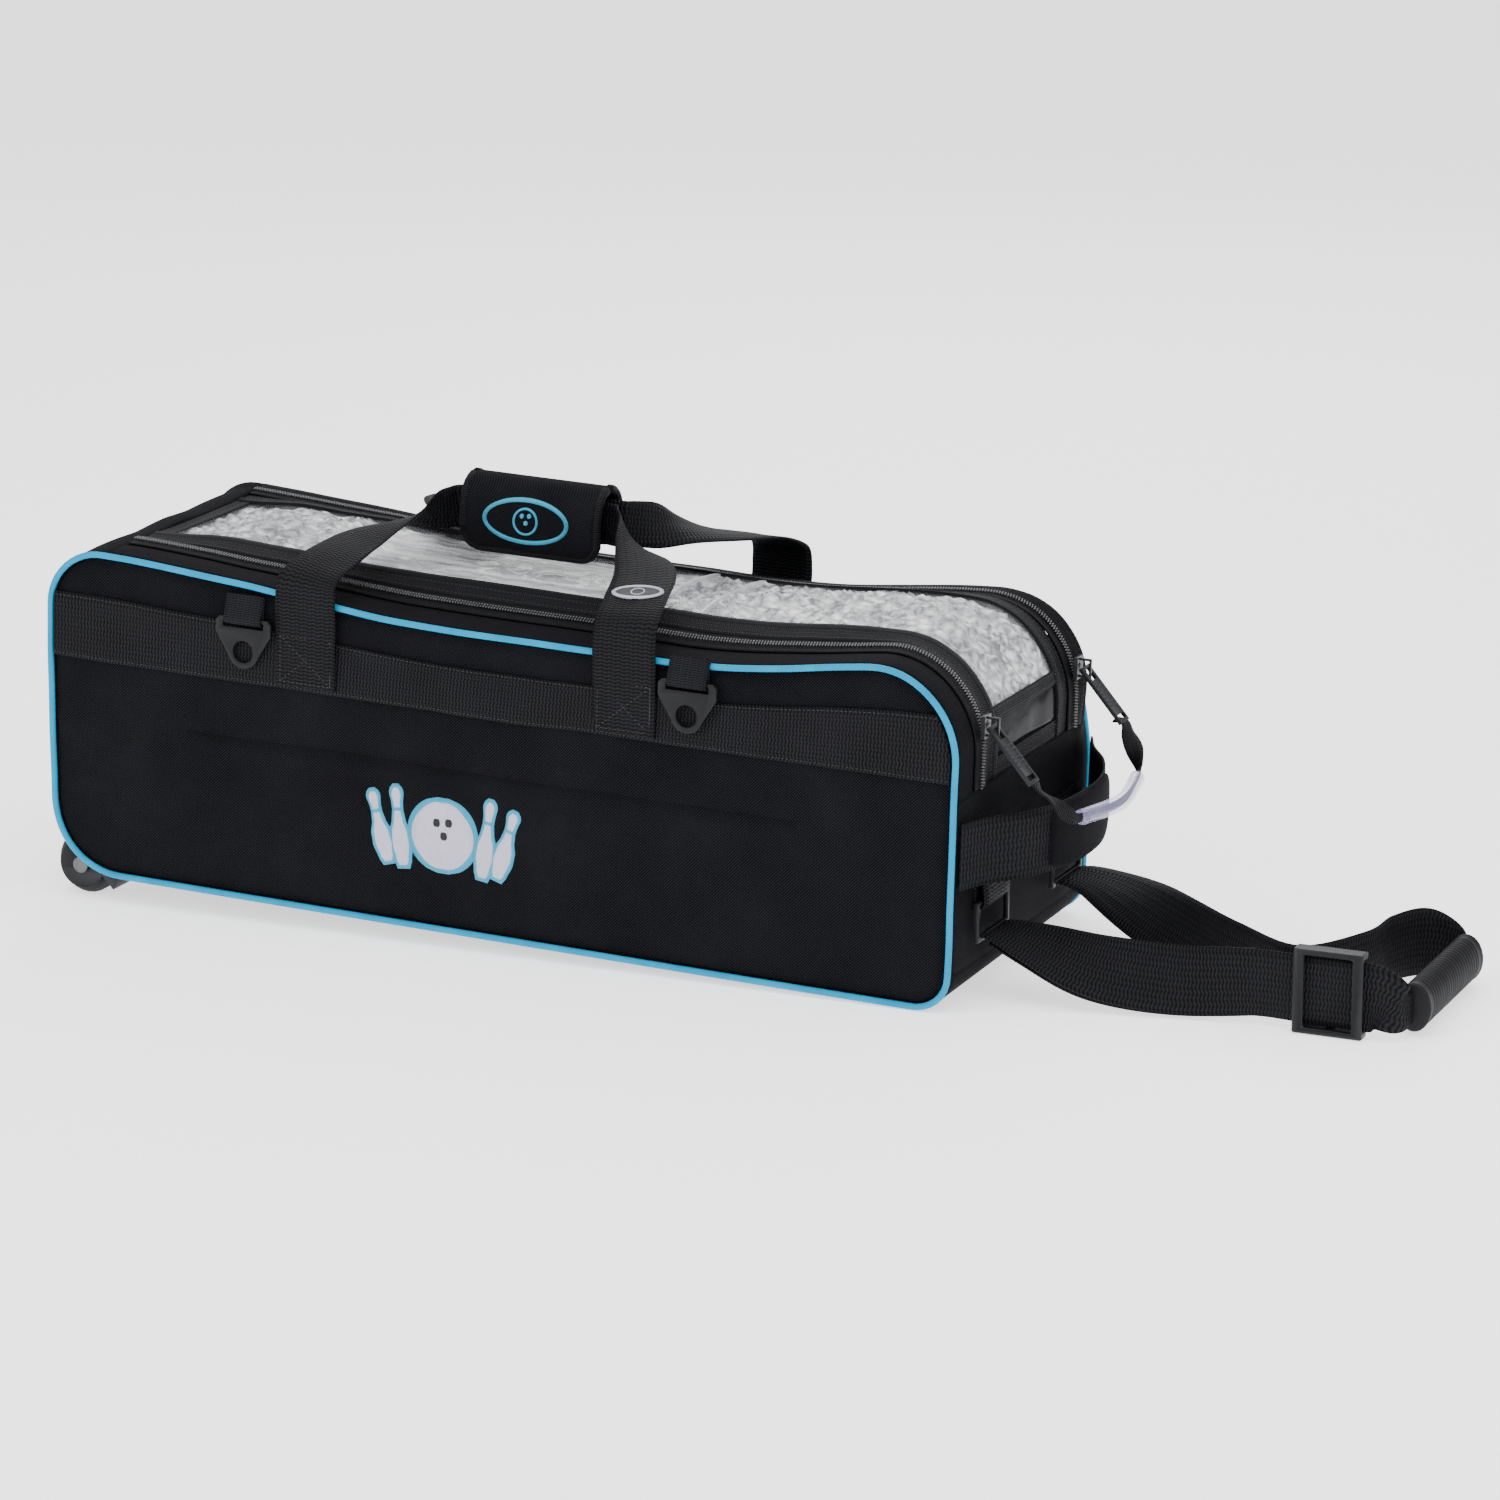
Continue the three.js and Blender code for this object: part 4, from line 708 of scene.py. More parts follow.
def crumpled_film():
    look = Looks("packing_film", (0.80, 0.81, 0.83), 0.16, Specular_IOR_Level=0.7, Coat_Weight=0.5,
                 Coat_Roughness=0.08)
    place = look.node("ShaderNodeTexCoord").outputs["Object"]
    # The film's colour is painted light: darker in the creases as painted shade and white on the facets as
    # painted highlight, with painted reflection streaks on the calm middle; patchy adds a random tone.
    folds = look.node("ShaderNodeTexVoronoi", {"Vector": place}, feature="DISTANCE_TO_EDGE", Scale=85.0)
    veins = look.node("ShaderNodeTexNoise", {"Vector": place}, Scale=70.0, Detail=6.0, Distortion=1.8)
    painted_crease_light = look.math("MULTIPLY_ADD", folds.outputs["Distance"], 2.2,
                         look.math("MULTIPLY_ADD", veins.outputs["Fac"], 1.9, -0.85))
    patchy = look.math("MULTIPLY_ADD", look.grain(11, 2), 1.9, -0.1)
    painted_crease_light = look.math("MULTIPLY", painted_crease_light, patchy)
    run = look.cloth_axes()[0]
    calm = []
    for edge, soft in ((on_top(75) / 1000, 0.02), (on_top(-175) / 1000, -0.02)):
        fade = look.node("ShaderNodeMapRange", {"Value": run}, From_Min=edge - soft, From_Max=edge + soft)
        calm.append(fade.outputs["Result"])
    middle = look.math("MULTIPLY", calm[0], calm[1])
    stretch = look.node("ShaderNodeMapping", {"Vector": place})
    stretch.inputs["Scale"].default_value = (1, 9, 3)
    streaks = look.node("ShaderNodeTexNoise", {"Vector": stretch.outputs["Vector"]}, Scale=14.0, Detail=5.0)
    painted_streak_reflections = look.math("MULTIPLY_ADD", streaks.outputs["Fac"], 1.9, -0.5)
    blend = look.node("ShaderNodeMix", data_type="FLOAT")
    look.tree.links.new(middle, blend.inputs["Factor"])
    look.tree.links.new(painted_crease_light, blend.inputs["A"])
    look.tree.links.new(painted_streak_reflections, blend.inputs["B"])
    shade = blend.outputs["Result"]
    look.tint(shade, (0.07, 0.075, 0.09), (1.0, 1.0, 1.0))
    look.relief(look.math("ADD", shade, look.grain(260, 3)), 0.0035, 1.0)
    look.shine(veins.outputs["Fac"], 0.05, 0.35)
    return look.material


def crumple(s, y):
    """Sharp creases and facets in the packing, calmer in the middle of the bag."""
    x = on_outline(s)[0]
    wild = 0.22 + 0.78 * max(smooth(60, 110, x), 1 - smooth(-190, -140, x))
    at = Vector((s / 21, y / 21, 0.7))
    crease = 1 - 2 * abs(noise.noise(at)) - abs(noise.noise(at * 2.3 + Vector((4, 4, 4)))) * 0.9
    small = abs(noise.noise(at * 5.1)) * 0.6
    return lid_crown(s, y) - 3.2 + wild * (5.0 * crease - 2.6 * small)


lid_part("packing_film_crumpled", PATCH_SEAM, LID_TO - LID_HEM, -WINDOW_HALF + 1, WINDOW_HALF - 1, 2.0,
         crumpled_film(), ["packing_film", "packing_film_end"], "packing", depth=1.6, pitch=(3.2, 3.2),
         swell=crumple)


def patch_vinyl():
    look = Looks("patch_vinyl", (0.003, 0.003, 0.0035), 0.2, IOR=1.07)
    ripple = look.grain(20, 1)
    look.tint(look.grain(55, 5), (0.0015, 0.0015, 0.002), (0.014, 0.014, 0.017))
    look.relief(ripple, 0.005, 0.6)
    look.shine(ripple, 0.08, 0.26)
    return look.material


lid_part("lid_patch", LID_FROM + LID_HEM - 1, PATCH_SEAM, -WINDOW_HALF, WINDOW_HALF, 1.6, patch_vinyl(),
         ["lid_end_patch"], "patch_vinyl", body="lid_end", depth=0.7, pitch=(5, 5), swell=window_swell)
lid_part("lid_patch_seam", PATCH_SEAM - 5, PATCH_SEAM + 5, -WINDOW_HALF, WINDOW_HALF, 1.4, BINDING,
         [], "binding", body="lid_end", depth=-0.6, pitch=(2.4, 5), swell=window_swell)

# ---- Zips --------------------------------------------------------------------
# Two black coil zips run the length of the lid.  Each has an outer tape sewn to
# the bag and an inner tape sewn to the lid, and a nylon coil on each tape.
COIL_PITCH, TOOTH = 2.3, (1.35, 3.3, 2.1)


def repeat_tree(name, detail):
    """Geometry nodes: a small rounded unit at each pitch of every line, set to its up."""
    tree = bpy.data.node_groups.new(name, "GeometryNodeTree")
    face = tree.interface
    face.new_socket("Lines", in_out="INPUT", socket_type="NodeSocketGeometry")
    face.new_socket("Pitch", in_out="INPUT", socket_type="NodeSocketFloat")
    face.new_socket("Unit", in_out="INPUT", socket_type="NodeSocketVector")
    face.new_socket("Finish", in_out="INPUT", socket_type="NodeSocketMaterial")
    face.new_socket("Pieces", in_out="OUTPUT", socket_type="NodeSocketGeometry")

    def add(kind, links=(), **settings):
        made = tree.nodes.new(kind)
        for key, value in settings.items():
            setattr(made, key, value)
        for socket, source in dict(links).items():
            tree.links.new(source, made.inputs[socket])
        return made

    given = add("NodeGroupInput")
    curve = add("GeometryNodeMeshToCurve", {"Mesh": given.outputs["Lines"]})
    even = add("GeometryNodeResampleCurve", {"Curve": curve.outputs["Curve"]}, mode="LENGTH")
    tree.links.new(given.outputs["Pitch"], even.inputs["Length"])
    ball = add("GeometryNodeMeshUVSphere")
    ball.inputs["Segments"].default_value = detail[0]
    ball.inputs["Rings"].default_value = detail[1]
    ball.inputs["Radius"].default_value = 0.5
    up = add("GeometryNodeInputNamedAttribute", data_type="FLOAT_VECTOR")
    up.inputs["Name"].default_value = "up"
    tangent = add("GeometryNodeInputTangent").outputs[0]
    forward = add("FunctionNodeAlignRotationToVector", {"Vector": tangent}, axis="X")
    turned = add("FunctionNodeAlignRotationToVector", {"Rotation": forward.outputs["Rotation"],
                 "Vector": up.outputs["Attribute"]}, axis="Z", pivot_axis="X")
    placed = add("GeometryNodeInstanceOnPoints", {"Points": even.outputs["Curve"],
                 "Instance": ball.outputs["Mesh"], "Rotation": turned.outputs["Rotation"],
                 "Scale": given.outputs["Unit"]})
    solid = add("GeometryNodeRealizeInstances", {"Geometry": placed.outputs["Instances"]})
    finish = add("GeometryNodeSetMaterial", {"Geometry": solid.outputs["Geometry"],
                 "Material": given.outputs["Finish"]})
    done = add("NodeGroupOutput")
    tree.links.new(finish.outputs["Geometry"], done.inputs["Pieces"])
    return tree


COIL_TREE = repeat_tree("coil", (7, 5))
STITCH_TREE = repeat_tree("stitches", (5, 4))


def repeated(name, tree, lines, pitch, unit, material):
    """Runs a repeat tree over lines of (place, up) pairs and keeps the plain mesh."""
    points, edges, ups = [], [], []
    for line in lines:
        start = len(points)
        points += [place for place, _ in line]
        ups += [value for _, up in line for value in up]
        edges += [(start + i, start + i + 1) for i in range(len(line) - 1)]
    mesh = bpy.data.meshes.new(name)
    mesh.from_pydata(points, edges, [])
    mesh.attributes.new("up", "FLOAT_VECTOR", "POINT").data.foreach_set("vector", ups)
    item = into_scene(name, mesh)
    repeat = item.modifiers.new("repeat", "NODES")
    repeat.node_group = tree
    sockets = {s.name: s.identifier for s in tree.interface.items_tree if s.in_out == "INPUT"}
    repeat[sockets["Pitch"]] = pitch / 1000
    repeat[sockets["Unit"]] = [size / 1000 for size in unit]
    repeat[sockets["Finish"]] = material
    bake_modifiers(item)
    for name_left in [a.name for a in item.data.attributes if a.name == "up"]:
        item.data.attributes.remove(item.data.attributes[name_left])
    item.data.shade_smooth()
    return item


def raised(s, y, out):
    """A place so far out from the band round the bag, and the way up from it."""
    x, z = on_outline(s, -out)
    in_x, in_z = on_outline(s, 4 - out)
    place = from_bag(settle(x, y, z))
    return place, (place - from_bag(settle(in_x, y, in_z))).normalized()


def line_on_band(s0, s1, y, proud, swell=None):
    """Places and ups along the band round the bag, at one y."""
    return [raised(s, y, proud + (swell(s, y) if swell else 0.0)) for s in steps(s0, s1, 4.0)]


# Black nylon coil: the light grey spots of its tint are painted glints.
COIL = mottled("zip_coil", (0.010, 0.010, 0.011), 0.28, (300, 2), (0.012, 0.012, 0.013),
               (0.11, 0.11, 0.115), shine=(0.18, 0.4), Specular_IOR_Level=0.65, Coat_Weight=0.3,
               Coat_Roughness=0.15)
TAPE = ribbed_webbing("zip_tape", (0.001, 0.001, 0.0012), (0.012, 0.012, 0.014), 0.0013, 0.0018)

for side, label in SIDES:
    outer = sorted((side * (ZIP_Y + 1.0), side * TAPE_OUT))
    inner = sorted((side * TAPE_IN, side * (ZIP_Y - 1.0)))
    strip(f"zip_tape_bag_{label}", LID_FROM, LID_TO, *outer, -1.6, 1.2, TAPE, "bag",
          [f"bag_zip_{label}"], "zip_coil", pitch=(6, 3))
    lid_part(f"zip_tape_lid_{label}", LID_FROM, LID_TO, *inner, 1.2, TAPE,
             [f"lid_zip_{label}", f"lid_end_zip_{label}"], "zip_coil", depth=-1.6, pitch=(6, 3))
    outer_coil = repeated(f"zip_coil_bag_{label}", COIL_TREE,
                          [line_on_band(LID_FROM, LID_TO, side * (ZIP_Y + 1.75), 2.9)],
                          COIL_PITCH, TOOTH, COIL)
    fitted(outer_coil, "bag", "zip_coil")
    inner_coil = repeated(f"zip_coil_lid_{label}", COIL_TREE,
                          [line_on_band(LID_FROM + COIL_PITCH / 2, LID_TO, side * (ZIP_Y - 1.75), 2.9)],
                          COIL_PITCH, TOOTH, COIL)
    folds(fitted(inner_coil, None, "zip_coil"))

# ---- Sliders and pull tabs ---------------------------------------------------
# Each zip has an enamelled slider with a bail at the pull end, and a flat pull
# tab with an eye and a raised rib pattern hangs from each bail.
def enamel(name, dark, light, roughness):
    look = Looks(name, dark, roughness, Specular_IOR_Level=0.14)
    # Sharp edges are painted lighter as a painted highlight along them; the scuffs add a random tone.
    edge = look.node("ShaderNodeNewGeometry").outputs["Pointiness"]
    painted_edge_sheen = look.node("ShaderNodeMapRange", {"Value": edge}, From_Min=0.51, From_Max=0.6).outputs["Result"]
    scuffs = look.grain(160, 4)
    look.tint(look.math("MULTIPLY_ADD", painted_edge_sheen, 0.8, look.math("MULTIPLY", scuffs, 0.2)), dark, light)
    look.relief(look.grain(900, 2), 0.0002, 0.4)
    look.shine(scuffs, roughness * 0.75, roughness * 1.25)
    return look.material


ENAMEL = enamel("zip_metal", (0.0025, 0.0025, 0.003), (0.05, 0.05, 0.055), 0.26)
MOULDED = enamel("hardware", (0.003, 0.003, 0.0036), (0.028, 0.029, 0.033), 0.36)


def eased(node, name, body, material, slot, ease=0.0006, rounds=2):
    """A moulded or cast piece on its CAD shape, with its edges eased."""
    mesh = frame["nodes"][node].data.copy()
    mesh.name = name
    work = bmesh.new()
    work.from_mesh(mesh)
    bmesh.ops.remove_doubles(work, verts=work.verts, dist=1e-6)
    flat = math.radians(1.5)
    bmesh.ops.dissolve_limit(work, angle_limit=flat, verts=work.verts, edges=work.edges)
    work.to_mesh(mesh)
    work.free()
    item = into_scene(name, mesh)
    mesh.materials.clear()
    mesh.materials.append(material)
    edge = item.modifiers.new("ease", "BEVEL")
    edge.width = ease
    edge.segments = rounds
    edge.limit_method = "ANGLE"
    edge.angle_limit = math.radians(38)
    bake_modifiers(item)
    item.data.shade_smooth()
    item.data.set_sharp_from_angle(angle=math.radians(40))
    fitted(item, body, slot, [node])


for label in ("front", "rear"):
    eased(f"zip_slider_{label}", f"slider_{label}", "lid_end", ENAMEL, "zip_metal", 0.0007)
    eased(f"zip_tab_{label}", f"pull_tab_{label}", "zip_handle", MOULDED, "hardware", 0.0008, 3)

SLIDER_Z, TAB_L, TAB_LEAN, BAIL_REACH, BAIL_ROD = 205.0, 50.0, math.radians(42), 9.0, 1.8
TAB_EYE_X = HALF_L + GAP + 1.2 + 3.2 + (BAIL_REACH - BAIL_ROD) / 2
TAB_DOWN = Vector((math.sin(TAB_LEAN), 0, -math.cos(TAB_LEAN)))
TAB_OUT = Vector((math.cos(TAB_LEAN), 0, math.sin(TAB_LEAN)))
tab_ribs = []
for side in (-1, 1):
    top = Vector((TAB_EYE_X, side * ZIP_Y, SLIDER_Z))
    for down in (17, 20.5, 24, 27.5, 31, 34.5):
        middle = top + TAB_DOWN * down + TAB_OUT * 1.35
        half = 5.2 if down in (17, 34.5) else 6.2
        up = (from_bag(TAB_OUT) - from_bag((0, 0, 0))).normalized()
        tab_ribs.append([(from_bag(middle + Vector((0, f * half, 0))), up) for f in (-1, 0, 1)])
ribs = repeated("pull_tab_ribs", COIL_TREE, tab_ribs, 1.3, (1.4, 1.7, 1.0), MOULDED)
fitted(ribs, "zip_handle", "hardware")

# ---- Zip handle --------------------------------------------------------------
# A narrow strap joins the two tabs, pleated where it passes through them, and
# runs through a short clear tube that the hand pulls.
TUBE_OUT, TUBE_HALF, TUBE_BOW, TUBE_R = 66.0, 58.0, 9.0, 6.0
TUBE_Z = 137.0


def spline(stops, per):
    """A smooth row of values through rows of numbers, per steps between two."""
    rows = [stops[0]] + list(stops) + [stops[-1]]
    found = []
    for i in range(1, len(rows) - 2):
        before, a, b, after = rows[i - 1:i + 3]
        for k in range(per):
            t = k / per
            found.append([0.5 * (2 * q + (r - p) * t + (2 * p - 5 * q + 4 * r - w) * t * t
                                 + (3 * q - p - 3 * r + w) * t ** 3)
                          for p, q, r, w in zip(before, a, b, after)])
    found.append(list(stops[-1]))
    return found


def ribbon_frames(stops, per, to_place):
    """(place, unit along its width, unit out of its face, width) along a strap."""
    rows = spline([(*at, *wide, width) for at, wide, width in stops], per)
    places = [to_place(row[:3]) for row in rows]
    zero = to_place((0, 0, 0))
    found = []
    for i, row in enumerate(rows):
        along = (places[min(i + 1, len(rows) - 1)] - places[max(i - 1, 0)]).normalized()
        wide = to_place(row[3:6]) - zero
        wide = (wide - along * wide.dot(along)).normalized()
        found.append((places[i], wide, along.cross(wide), row[6] / 1000))
    return found


def ribbon(name, stops, thick, material, per=8, to_place=from_bag, columns=6, buckle=0.0):
    """A flat strap through stops of (place, way its width points, width), in millimetres."""
    frames = ribbon_frames(stops, per, to_place)
    runs = [0.0]
    for before, after in zip(frames, frames[1:]):
        runs.append(runs[-1] + (after[0] - before[0]).length)

    def spot(i, j):
        place, wide, out, width = frames[i]
        f = 2 * j / columns - 1
        lift = buckle / 1000 * noise.noise(Vector((runs[i] * 22, f * 1.3, len(name))))
        edge = 1 - 0.35 * (abs(f) == 1)
        middle = place + wide * (f * width / 2) + out * lift
        skin = out * (thick * edge / 2000)
        return middle + skin, middle - skin, (runs[i], f * width / 2)

    return cloth_sheet(name, range(len(frames)), range(columns + 1), spot, material)


NARROW = ribbed_webbing("narrow_webbing", (0.001, 0.001, 0.0012), (0.014, 0.014, 0.017), 0.0018, 0.003)
tab_end = Vector((TAB_EYE_X, 0, SLIDER_Z)) + TAB_DOWN * (TAB_L - 4)
half_bridge = [((tab_end.x - 5, ZIP_Y, tab_end.z - 2), (0, 1, 0), 13),
               ((tab_end.x + 3, ZIP_Y, tab_end.z - 3), (0, 1, 0), 12),
               ((tab_end.x + 9, ZIP_Y - 5, tab_end.z - 12), (0, 1, 0.5), 14),
               ((HALF_L + TUBE_OUT - 4, TUBE_HALF + 16, TUBE_Z + 5), (0.2, 0, 1), 12),
               ((HALF_L + TUBE_OUT, TUBE_HALF, TUBE_Z), (0, 0, 1), 6)]
front_half = [((x, -y, z), (wx, wy, -wz) if abs(wy) > abs(wz) else (-wx, wy, wz), w)
              for (x, y, z), (wx, wy, wz), w in half_bridge]
bridge_middle = ((HALF_L + TUBE_OUT + TUBE_BOW, 0, TUBE_Z - 2), (0, 0, 1), 6)
bridge = ribbon("zip_bridge", front_half + [bridge_middle] + half_bridge[::-1], 1.9, NARROW, per=9,
                columns=4, buckle=0.5)
fitted(bridge, "zip_handle", "webbing", ["zip_bridge_strap"])


def clear_tube():
    look = Looks("clear_tube", (0.30, 0.27, 0.52), 0.06, Alpha=0.42, IOR=1.48, Specular_IOR_Level=0.9,
                 Coat_Weight=1.0, Coat_Roughness=0.03)
    wall = look.grain(40, 2)
    look.tint(wall, (0.20, 0.18, 0.42), (0.52, 0.48, 0.78))
    look.relief(wall, 0.001, 0.3)
    look.material.surface_render_method = "BLENDED"
    return look.material


tube_rows = spline([(HALF_L + TUBE_OUT, -TUBE_HALF, TUBE_Z), (HALF_L + TUBE_OUT + TUBE_BOW, 0, TUBE_Z - 2),
                    (HALF_L + TUBE_OUT, TUBE_HALF, TUBE_Z)], 12)
grip_tube = tube("zip_tube", [from_bag(row) for row in tube_rows], 20, TUBE_R / 1000, clear_tube(),
                 ups=[(0, 0, 1)] * len(tube_rows))
fitted(grip_tube, "zip_handle", "clear_tube", ["zip_grip_tube"])

# ---- Carry handles -----------------------------------------------------------
# One length of webbing a side: each leg is sewn to the side band, comes up over
# the piping and turns on edge to run through the hand wrap.
LEG_X, BAR_X = (-150.0, 112.0), (-96.0, 46.0)
BAR_Y, BAR_Z, BAR_H = 6.0, 294.0, 32.0
HINGE_Z, FOOT_DROP = 236.0, 22.0


def leg_stops(i, side):
    x, bar = LEG_X[i], BAR_X[i]
    out = BAND_FACE + 1.2
    belly = settle(x, HALF_W, BAND_Z).y - HALF_W
    return [((x, side * (out + belly), BAND_Z - FOOT_DROP), (1, 0, 0), WEBBING_W),
            ((x, side * (out + belly), BAND_Z), (1, 0, 0), WEBBING_W),
            ((x, side * (out + 1.6), HINGE_Z - 12), (1, 0, 0), WEBBING_W),
            ((x, side * (out + 2.6), HINGE_Z + 4), (1, 0, 0), WEBBING_W),
            ((x * 0.995, side * (HALF_W + 1), HEIGHT + 3), (1, 0, 0), 49),
            ((x * 0.95, side * (HALF_W - 26), HEIGHT + 15), (1, 0, 0), 48),
            ((x * 0.74 + bar * 0.26, side * 72, BAR_Z - 16), (1, 0, 0.1), 46),
            ((x * 0.4 + bar * 0.6, side * 36, BAR_Z - 7), (1, 0, 0.5), 40),
            ((bar * 1.02, side * (BAR_Y + 7), BAR_Z - 2), (0.35, 0, 1), 34)]


for side, label in SIDES:
    bar = [((BAR_X[0] * 0.85, side * BAR_Y, BAR_Z), (0, 0, 1), BAR_H),
           ((-25, side * BAR_Y, BAR_Z), (0, 0, 1), BAR_H),
           ((BAR_X[1] * 0.7, side * BAR_Y, BAR_Z), (0, 0, 1), BAR_H)]
    back = [(at, (-wide[0], wide[1], wide[2]), width) for at, wide, width in leg_stops(1, side)[::-1]]
    strap = ribbon(f"handle_strap_{label}", leg_stops(0, side) + bar + back, WEBBING_T, WEBBING, per=7,
                   columns=8, buckle=1.1)
    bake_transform(strap, "bag", f"{label}_handle", start=from_bag((0, side * HALF_W, HINGE_Z - 7)),
             end=from_bag((0, side * HALF_W, HINGE_Z + 9)))
    fitted(strap, None, "webbing", [f"{label}_handle_strap"])

# ---- Hand wrap ---------------------------------------------------------------
# A padded polyester wrap folds over both straps and closes behind them.  It is
# foam between two layers of cloth, with a bound edge and rounded lower corners.
WRAP_X, WRAP_FILL = (-81.0, 31.0), 0.7


def soft_cloth(name, dark, light, pitch):
    """The same weave, with the same painted highlight on the yarn crossings and painted shade between them,
    for a stuffed piece, laid in space instead of on a UV map.
    """
    look = Looks(name, dark, 0.8, Specular_IOR_Level=0.05)
    place = look.node("ShaderNodeTexCoord").outputs["Object"]
    split = look.node("ShaderNodeSeparateXYZ", {"Vector": place})
    along = look.math("ADD", split.outputs["X"], split.outputs["Y"])
    warp = look.wave(look.math("ADD", along, split.outputs["Z"]), pitch)
    weft = look.wave(look.math("SUBTRACT", along, split.outputs["Z"]), pitch)
    yarn = look.math("MULTIPLY", warp, weft)
    look.tint(look.math("MULTIPLY_ADD", yarn, 1.1, look.math("MULTIPLY_ADD", look.grain(16, 4), 0.5, -0.2)),
              dark, light)
    look.relief(look.math("ADD", yarn, look.math("MULTIPLY", look.grain(900, 2), 0.35)), 0.0006, 0.75)
    look.shine(look.grain(30, 3), 0.7, 0.88)
    return look.material


SOFT = soft_cloth("padded_cloth", (0.0003, 0.0003, 0.0005), (0.019, 0.019, 0.024), 0.0023)


def puff(item, voxel, pressure, cap):
    """Stuffs a closed shape: even mesh, cloth under pressure, each point held to cap."""
    even = item.modifiers.new("even", "REMESH")
    even.mode = "VOXEL"
    even.voxel_size = voxel
    bake_modifiers(item)
    start = [v.co.copy() for v in item.data.vertices]
    cloth = item.modifiers.new("stuffing", "CLOTH")
    cloth.settings.use_pressure = True
    cloth.settings.uniform_pressure_force = pressure
    cloth.settings.effector_weights.gravity = 0
    cloth.settings.quality = 5
    cloth.point_cache.frame_start, cloth.point_cache.frame_end = 1, 20
    for step in range(1, 21):
        bpy.context.scene.frame_set(step)
    bake_modifiers(item)
    bpy.context.scene.frame_set(1)
    for vertex, first in zip(item.data.vertices, start):
        move = vertex.co - first
        if move.length > cap:
            vertex.co = first + move.normalized() * cap
    finer = item.modifiers.new("finer", "SUBSURF")
    finer.levels = finer.render_levels = 1
    bake_modifiers(item)
    item.data.shade_smooth()


WRAP_HALF_T, WRAP_CORNER = 2.3, 15
WRAP_PATH = [(-19, -27), (-20.5, -12), (-20, 6), (-15, 19), (-2, 25.5), (11, 21), (18, 9), (20, -6),
             (19, -20)]


def wrap_section():
    """Places across the wrap, from its front lower edge over the top to its rear edge."""
    return [Vector((0, y, BAR_Z + z)) for y, z in spline(WRAP_PATH, 5)]


def corner_cut(x, radius):
    """How far a rounded corner takes the edge back at x."""
    near = min(x - WRAP_X[0], WRAP_X[1] - x)
    return radius - math.sqrt(radius ** 2 - (radius - near) ** 2) if near < radius else 0.0


def wrap_point(x, f):
    section = wrap_section()
    length = [0.0]
    for a, b in zip(section, section[1:]):
        length.append(length[-1] + (b - a).length)
    low = corner_cut(x, WRAP_CORNER)
    want = low + (length[-1] - 2 * low) * f
    i = next(k for k in range(1, len(length)) if length[k] >= want - 1e-6)
    share = (want - length[i - 1]) / (length[i] - length[i - 1])
    spot = section[i - 1].lerp(section[i], share)
    along = (section[i] - section[i - 1]).normalized()
    return Vector((x, spot.y, spot.z)), Vector((0, -along.z, along.y))


def wrap_spot(x, f):
    spot, out = wrap_point(x, f)
    return (from_bag(spot + out * WRAP_HALF_T), from_bag(spot - out * WRAP_HALF_T), (x / 1000, f / 10))


wrap = cloth_sheet("hand_wrap", steps(WRAP_X[0] + 1.5, WRAP_X[1] - 1.5, 4.5), steps(0, 1, 0.045),
                   wrap_spot, SOFT)
puff(wrap, 0.0022, 3.0, 0.0035)
fitted(wrap, "front_handle", "bag_fabric", ["handle_wrap"])

edge_line = [wrap_point(x, 0)[0] for x in steps(WRAP_X[0] + 0.5, WRAP_X[1] - 0.5, 3)]
edge_line += [wrap_point(WRAP_X[1] - 0.5, f)[0] for f in steps(0, 1, 0.05)[1:]]
edge_line += [wrap_point(x, 1)[0] for x in steps(WRAP_X[1] - 0.5, WRAP_X[0] + 0.5, 3)[1:]]
edge_line += [wrap_point(WRAP_X[0] + 0.5, f)[0] for f in steps(1, 0, 0.05)[1:-1]]
binding = tube("wrap_binding", [from_bag(p) for p in edge_line], 10, 0.0034, BINDING, closed=True,
               ups=[(0.001, 1, 0.001)] * len(edge_line))
fitted(binding, "front_handle", "binding")

# ---- Triangle rings ----------------------------------------------------------
# Two moulded triangular rings hang from short loops of narrow webbing sewn over
# the side band, one beside each front handle leg.  A shoulder strap clips there.
RING_OFF_LEG = WEBBING_W / 2 + 23 + 3.5
RING_X = (LEG_X[0] - RING_OFF_LEG, LEG_X[1] + RING_OFF_LEG)
RING_LOOP_W = 31.0
RING_Y = BAND_FACE + GAP + 1.5 * math.sqrt(2) + GAP + WEBBING_T

for label, x in zip(("left", "right"), RING_X):
    eased(f"triangle_ring_{label}", f"carry_ring_{label}", f"ring_{label}", MOULDED, "hardware", 0.0008, 3)
    stops = []
    for y, z in ((HALF_W + 1.2, 238), (HALF_W + 3.0, 229), (RING_Y - 2.9, 222), (RING_Y - 2.0, 217.6),
                 (RING_Y + 0.4, 216.8), (RING_Y + 2.6, 218.2), (RING_Y + 2.9, 222), (HALF_W + 6.0, 230),
                 (HALF_W + 3.2, 239)):
        stops.append(((x, -y, z), (1, 0, 0), RING_LOOP_W))
    loop = ribbon(f"carry_loop_{label}", stops, WEBBING_T, NARROW, per=5, columns=5)
    fitted(loop, "bag", "webbing", [f"ring_loop_{label}"])

# ---- Pull-end handle ---------------------------------------------------------
# A wide strap arches across the pull end, sewn down at both sides, with a padded
# sleeve over its middle.  It lifts that end of the loaded bag.
END_Z, END_OUT = 117.0, 46.0


def end_arch(f):
    """The handle's middle line, from -1 at the front to 1 at the rear."""
    out = max(0.0, 1 - (abs(f) / 0.9) ** 2.4)
    return Vector((HALF_L + GAP + 2.4 + END_OUT * out, f * (GUSSET_HALF - 1), END_Z))


